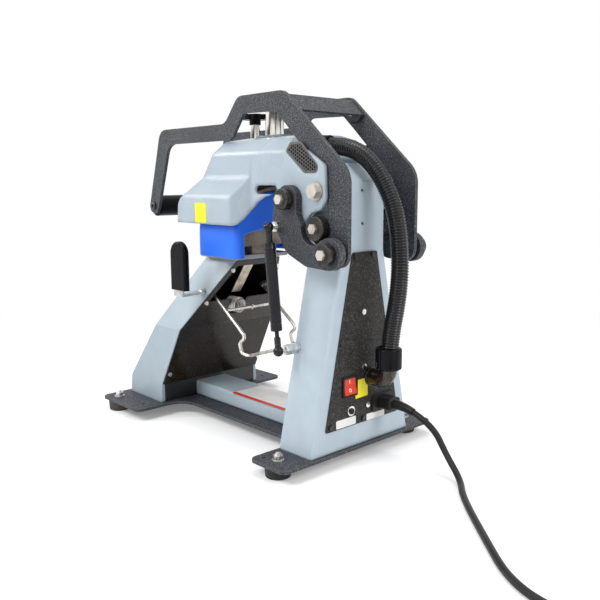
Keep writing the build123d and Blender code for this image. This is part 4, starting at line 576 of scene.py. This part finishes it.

# Pivot collars, shafts, pins and spacers: turned steel with an oily black oxide, paler on the edges,
# partly rubbed wear and partly painted highlight. The conduit's elbow has the same finish.
black_oxide, tree, shader = finish("black_oxide", Metallic=0.6, Specular_IOR_Level=0.3, Coat_Weight=0.5,
                                   Coat_Roughness=0.08)
metal = use(tree, drawn_metal, Fine=420.0, Depth=0.00004, Edge=0.0008, Stretch=(0.1, 1.0, 1.0))
edges = use(tree, edge_wear_and_highlight, Width=0.001)
tone = colour_between(tree, ramped(tree, metal["Patches"], 0.4, 0.7), (0.020, 0.018, 0.016),
                      (0.050, 0.043, 0.036))
# Paler edges: partly rubbed wear, partly painted highlight.
on_edges = ramped(tree, edges["Mask"], 0, 1, 0, 0.7)
tone = colour_between(tree, on_edges, tone, (0.16, 0.14, 0.12))
surfaced(tree, shader, tone, ramped(tree, metal["Lines"], 0.3, 0.7, 0.20, 0.34), metal["Normal"])
dress(black_oxide, "pivot_caps", "shaft_spacers", "upper_pins", "lower_pins", "pivot_shaft", "hinge_shaft",
      "conduit_elbow")

# Arm screws: black ones hold the bar, and bright ones sit inside the brace's tabs, which are
# behind the middle of the machine.
screw_pair = black_oxide.copy()
screw_pair.name = "screw_pair"
tree = screw_pair.node_tree
y = put(tree, "SeparateXYZ", {0: put(tree, "TexCoord").outputs["Object"]}).outputs[1]
overpainted(screw_pair, reckoned(tree, "GREATER_THAN", y, 0.0), (0.60, 0.59, 0.57))
dress(screw_pair, "arm_screws")

# Rear cover: a sheet panel screwed over the column's back, which carries the switch and the inlet.
# Its speckle is browner and duller than the arms'.
panel_speckle = speckled("panel_speckle", (0.010, 0.009, 0.009), (0.085, 0.078, 0.070),
                         (0.08, 0.07, 0.06), 0.46, 520.0)
dress(panel_speckle, "rear_cover")

# Vent grilles: black plates in the head's side windows, with rows of hexagons whose webs are paler
# than the holes, which are painted near black as shade in the hollows.
grille_black, tree, shader = finish("grille_black", Specular_IOR_Level=0.4)
coat = use(tree, grain_coat, Grain=400.0, Depth=0.0001, Edge=0.0003)
x = put(tree, "SeparateXYZ", {0: put(tree, "TexCoord").outputs["Object"]}).outputs[0]
web_x, hole_x = 0.0784, 0.0776
on_web = ramped(tree, reckoned(tree, "ABSOLUTE", x), hole_x, web_x)
web = colour_between(tree, coat["Tone"], (0.085, 0.083, 0.080), (0.125, 0.120, 0.115))
# Painted shade: inside the outer face the holes are coloured near black.
tone = colour_between(tree, on_web, (0.004, 0.004, 0.004), web)
surfaced(tree, shader, tone, ramped(tree, coat["Speckle and glint"], 0, 1, 0.36, 0.5), coat["Normal"])
dress(grille_black, "vent_grilles")

# Moulded plastics: gloss black with a slight ripple on the star knob, the grip and the hose's
# fittings; duller on the plugs, the inlet and the switch; a painted tube for the handle bar.


def moulded(name, dark, pale, rough, edge=0.001, shine=0.22):
    """Moulded plastic or painted tube with soft variation in gloss."""
    material, tree, shader = finish(name, Specular_IOR_Level=shine)
    coat = use(tree, peel_coat, Edge=edge)
    tone = colour_between(tree, ramped(tree, coat["Smear"], 0.3, 0.7), dark, pale)
    surfaced(tree, shader, tone, ramped(tree, coat["Mottle"], 0.3, 0.7, rough, rough + 0.12), coat["Normal"])
    return material


gloss_black = moulded("gloss_black", (0.002, 0.002, 0.003), (0.005, 0.005, 0.007), 0.08, shine=0.12)
dress(gloss_black, "star_knob", "lever_grip", "gland_nut", "hose_fitting")
bar_black = moulded("bar_black", (0.003, 0.003, 0.004), (0.006, 0.006, 0.007), 0.30, shine=0.10)
dress(bar_black, "handle_bar")
plug_black = moulded("plug_black", (0.008, 0.008, 0.008), (0.017, 0.016, 0.015), 0.30)
dress(plug_black, "appliance_plug", "mains_plug", "power_inlet", "switch_housing", "breaker_button")

# Cover screws: small screws that hold the panel. They are glossy black round its rim, and three in
# its middle are zinc-plated.
rim_screw = moulded("rim_screw", (0.010, 0.010, 0.010), (0.022, 0.021, 0.020), 0.14, 0.0006, 0.5)
tree = rim_screw.node_tree
place = put(tree, "TexCoord").outputs["Object"]
panel_y, head_reach = 0.2185, 0.009
plated = 0.0
for x, z in ((0.003, 0.225), (0.001, 0.1425), (-0.008, 0.0815)):
    away = put(tree, "VectorMath", {0: place, 1: (x, panel_y, z)}, operation="DISTANCE").outputs["Value"]
    plated = reckoned(tree, "MAXIMUM", reckoned(tree, "LESS_THAN", away, head_reach), plated)
overpainted(rim_screw, plated, (0.78, 0.77, 0.75))
tree.links.new(plated, tree.nodes["Principled BSDF"].inputs["Metallic"])
dress(rim_screw, "cover_screws")

# Rocker and lead: glossy red plastic on the rocker, and black vinyl with a dull shine on the lead
# that was laid in its own section.
rocker_red = moulded("rocker_red", (0.62, 0.030, 0.008), (0.74, 0.055, 0.014), 0.22, shine=0.4)
dress(rocker_red, "power_rocker")
cord_black = moulded("cord_black", (0.012, 0.011, 0.012), (0.024, 0.023, 0.023), 0.38)
lead.data.materials.append(cord_black)

# Rocker legends: a plain I over a plain O, printed white on the red rocker. The I is a bar between
# its half widths, and the O a ring between two radii.
legend_x, bar_z, ring_z = 0.0315, 0.1245, 0.1115
bar_half_w, bar_half_h, ring_mid_r, ring_half_w = 0.0006, 0.0027, 0.0020, 0.00055
tree = rocker_red.node_tree
x, _, z = put(tree, "SeparateXYZ", {0: put(tree, "TexCoord").outputs["Object"]}).outputs


def near(tree, value, middle, reach):
    """One where the value lies within reach of the middle, and nought elsewhere."""
    return reckoned(tree, "COMPARE", value, middle, reach)


bar = reckoned(tree, "MULTIPLY", near(tree, x, legend_x, bar_half_w), near(tree, z, bar_z, bar_half_h))
flat_place = put(tree, "CombineXYZ", {0: x, 2: z}).outputs[0]
ring_middle = (legend_x, 0, ring_z)
away = put(tree, "VectorMath", {0: flat_place, 1: ring_middle}, operation="DISTANCE").outputs["Value"]
ring = near(tree, away, ring_mid_r, ring_half_w)
overpainted(rocker_red, reckoned(tree, "MAXIMUM", bar, ring), (0.85, 0.83, 0.80))

# Stickers: thin vinyl with rounded corners, cut plain and pressed flat on the wing, the rear panel
# and the spine.
sticker_t, sticker_corner_r = 0.00025, 0.002


def sticker(name, middle, across, up, width, height, material, body):
    """A rounded rectangle as one closed skin: its rim at the back and front, then rings towards the
    middle. The rim is a circle's direction stretched to the rectangle less its corners."""
    across, up = np.array(across, float), np.array(up, float)
    out = np.cross(across, up)
    turn = np.linspace(0, 2 * pi, 64, endpoint=False) + pi / 64
    core = np.stack([np.sign(np.cos(turn)) * (width / 2 - sticker_corner_r),
                     np.sign(np.sin(turn)) * (height / 2 - sticker_corner_r)], axis=1)
    rim = core + sticker_corner_r * np.stack([np.cos(turn), np.sin(turn)], axis=1)
    shares = np.array([1.0, 1.0, 0.97, 0.5, 0.05])
    lifts = np.array([0.0, 0.8, 1.0, 1.0, 1.0]) * sticker_t
    flat = shares[:, None, None] * rim[None]
    rings = np.array(middle) + flat[..., :1] * across + flat[..., 1:] * up + lifts[:, None, None] * out
    made = grid_piece(name, rings)
    made.data.materials.append(material)
    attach(made, body)
    return made


def vinyl(name, pale, soiled):
    """Sticker vinyl: one clean colour, a little soiled in patches."""
    material, tree, shader = finish(name, Specular_IOR_Level=0.35)
    coat = use(tree, peel_coat, Edge=0.0002)
    tone = colour_between(tree, ramped(tree, coat["Mottle"], 0.4, 0.75), pale, soiled)
    surfaced(tree, shader, tone, ramped(tree, coat["Smear"], 0.3, 0.7, 0.35, 0.47), coat["Normal"])
    return material


yellow_vinyl = vinyl("yellow_vinyl", (0.90, 0.78, 0.02), (0.84, 0.70, 0.03))
white_vinyl = vinyl("white_vinyl", (0.84, 0.84, 0.82), (0.76, 0.75, 0.72))
lean, backward, sideways, upright = 0.035, (0, 1, 0), (-1, 0, 0), (0, 0, 1)
leaning_across, leaning_up = (-cos(lean), 0, sin(lean)), (sin(lean), 0, cos(lean))
sticker("wing_sticker", (0.1, -0.048, 0.36475), backward, upright, 0.030, 0.0315, yellow_vinyl, "head")
sticker("switch_sticker", (0.0050, 0.218, 0.1095), leaning_across, leaning_up, 0.027, 0.028,
        yellow_vinyl, "frame")
sticker("wide_panel_sticker", (0.0379, 0.218, 0.0635), sideways, upright, 0.042, 0.0125,
        white_vinyl, "frame")
sticker("near_panel_sticker", (-0.0273, 0.218, 0.0613), sideways, upright, 0.041, 0.0100,
        white_vinyl, "frame")

# Spine sticker: white vinyl on top of the box tube, with one plain red band along its long near
# edge.
striped_vinyl = vinyl("striped_vinyl", (0.84, 0.84, 0.82), (0.76, 0.75, 0.72))
tree = striped_vinyl.node_tree
x = put(tree, "SeparateXYZ", {0: put(tree, "TexCoord").outputs["Object"]}).outputs[0]
band_from_x = 0.029
overpainted(striped_vinyl, reckoned(tree, "GREATER_THAN", x, band_from_x), (0.72, 0.03, 0.02))
sticker("spine_sticker", (0.0025, 0.010, 0.050), (1, 0, 0), backward, 0.069, 0.134, striped_vinyl, "frame")

# Gas spring: a painted tube with rolled-in ends slides over a thin rod, and each carries a ball
# socket with a knurled neck. Both are outlines turned round the line between the two balls.
low_ball, high_ball = np.array([0.113, 0.154, 0.172]), np.array([0.113, 0.135, 0.350])
gas_run = float(np.linalg.norm(high_ball - low_ball))
gas_way = (high_ball - low_ball) / gas_run
socket_r, neck_r, neck_from, neck_to = 0.0075, 0.0050, 0.0062, 0.0205
knurls, knurl_deep = 7, 0.0005
rod_r, rod_to, tube_r, tube_from, ring_r = 0.0031, 0.120, 0.0084, 0.030, 0.0087


def ball_and_neck():
    """A socket's outline as distance and radius: an arc from the pole to the neck, then even steps
    whose radius goes up and down for the knurls."""
    arc = np.linspace(0.06, pi - 0.73, 12)
    steps = np.linspace(neck_from, neck_to, 4 * knurls + 1)
    ball = np.stack([-socket_r * np.cos(arc), socket_r * np.sin(arc)], axis=1)
    neck = np.stack([steps, neck_r - knurl_deep * (np.arange(len(steps)) % 4 > 1)], axis=1)
    return np.vstack([ball, neck])


def lathed(name, outline, node, material):
    """An outline of distances from the low ball and radii, turned round the gas spring's line."""
    turn = np.linspace(0, 2 * pi, 32, endpoint=False)[:, None]
    side = np.array([1.0, 0, 0])
    ring = np.cos(turn) * side + np.sin(turn) * np.cross(gas_way, side)
    made = grid_piece(name, low_ball + outline[:, :1, None] * gas_way + outline[:, 1:, None] * ring)
    made.data.set_sharp_from_angle(angle=0.6)
    made.data.materials.append(material)
    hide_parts(node)
    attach(made, node)


tube_black = moulded("tube_black", (0.005, 0.005, 0.007), (0.012, 0.012, 0.016), 0.16, shine=0.3)
lathed("thin_rod", np.vstack([ball_and_neck(), [(neck_to + 0.0005, rod_r), (rod_to, rod_r)]]), "gas_rod",
       tube_black)
high_end = ball_and_neck()[::-1] * (-1, 1) + (gas_run, 0)
low_rim = [(tube_from, 0.0045), (tube_from, 0.0074), (tube_from + 0.0012, tube_r),
           (tube_from + 0.0100, tube_r), (tube_from + 0.0104, tube_r - 0.0006),
           (tube_from + 0.0112, tube_r - 0.0006), (tube_from + 0.0116, tube_r)]
high_rim = [(gas_run - 0.0330, tube_r), (gas_run - 0.0324, ring_r), (gas_run - 0.0306, ring_r),
            (gas_run - 0.0300, tube_r), (gas_run - 0.0230, tube_r - 0.0004), (gas_run - 0.0215, 0.0056)]
lathed("painted_tube", np.vstack([low_rim, high_rim, high_end]), "gas_tube", tube_black)

# Ribbed conduit: black polyamide hose with close round ribs, bent from the gland nut over the
# column to the head.
hose_points = np.array([
    (-0.016, 0.252, 0.150), (-0.016, 0.256, 0.196), (-0.016, 0.2665, 0.243), (-0.016, 0.2708, 0.290),
    (-0.016, 0.2675, 0.335), (-0.015, 0.260, 0.374), (-0.012, 0.247, 0.405), (-0.008, 0.229, 0.433),
    (-0.003, 0.206, 0.454), (0.004, 0.180, 0.464), (0.008, 0.155, 0.465)])
hose_r, hose_root_r, rib_pitch = 0.0130, 0.0114, 0.0040
rib_steps, hose_sides = 10, 40
route = laid_line("hose_route", hose_points)
route.data.resolution_u = 40
path = read_line(route)
bpy.data.objects.remove(route)
path, hose_length = respaced(path, 2000)
ribs = int(hose_length / rib_pitch)
path, hose_length = respaced(path, ribs * rib_steps + 1)
# A rib's outline is a raised cosine, flattened at its crown by a power below one.
phase = np.arange(len(path)) % rib_steps / rib_steps
crown = (0.5 - 0.5 * np.cos(2 * pi * phase)) ** 0.7
rib_radii = hose_root_r + (hose_r - hose_root_r) * crown
hose = grid_piece("ribbed_conduit", tube_rings(path, rib_radii, hose_sides, np.array([1.0, 0, 0])))
hose_black = moulded("hose_black", (0.005, 0.005, 0.006), (0.012, 0.012, 0.013), 0.14, 0.0003, 0.4)
hose.data.materials.append(hose_black)
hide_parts("conduit_hose")
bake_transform(hose)

# Bail spring: close curls of bright wire with a hook at each end, the rear one round the bail's
# cross wire and the front one in the anchor's eye.
curl_r, curl_wire_r, curl_turns, curl_pitch = 0.013, 0.0011, 7, 0.0043
curl_rear_y, curl_z = -0.076, 0.199
cross_wire, anchor_y = (-0.0434, 0.2002), -0.122
rear_hook_r, front_hook_r = 0.0041, 0.0032
turn = np.linspace(0, 2 * pi * curl_turns, 24 * curl_turns + 1)
curls_y = curl_rear_y - curl_pitch * turn / (2 * pi)
curls = np.stack([curl_r * np.sin(turn), curls_y, curl_z + curl_r * np.cos(turn)], axis=1)
wire_y, wire_z = cross_wire
rear_hook = np.array([
    (0, wire_y, wire_z - rear_hook_r), (0, wire_y + rear_hook_r, wire_z - 0.001),
    (0, wire_y + 0.003, wire_z + rear_hook_r), (0, wire_y - 0.006, wire_z + 0.0055), (0, -0.062, 0.2085)])
eye_y = anchor_y + 0.005
front_hook = np.array([
    (0.006, curls_y[-1] - 0.0035, curl_z + 0.007), (front_hook_r, anchor_y + 0.007, curl_z),
    (0, eye_y - front_hook_r, curl_z), (-front_hook_r, eye_y, curl_z)])
spring_line = laid_line("spring_line", np.vstack([rear_hook, curls, front_hook]))
spring_line.data.bevel_depth = curl_wire_r
spring_line.data.bevel_resolution = 3
spring_line.data.resolution_u = 3
spring_line.data.use_fill_caps = True
spring = bpy.data.objects.new("curled_spring", bpy.data.meshes.new_from_object(spring_line))
bpy.data.objects.remove(spring_line)
scene.collection.objects.link(spring)
spring.data.materials.clear()
spring.data.materials.append(drawn_wire)
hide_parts("bail_spring")
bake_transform(spring)
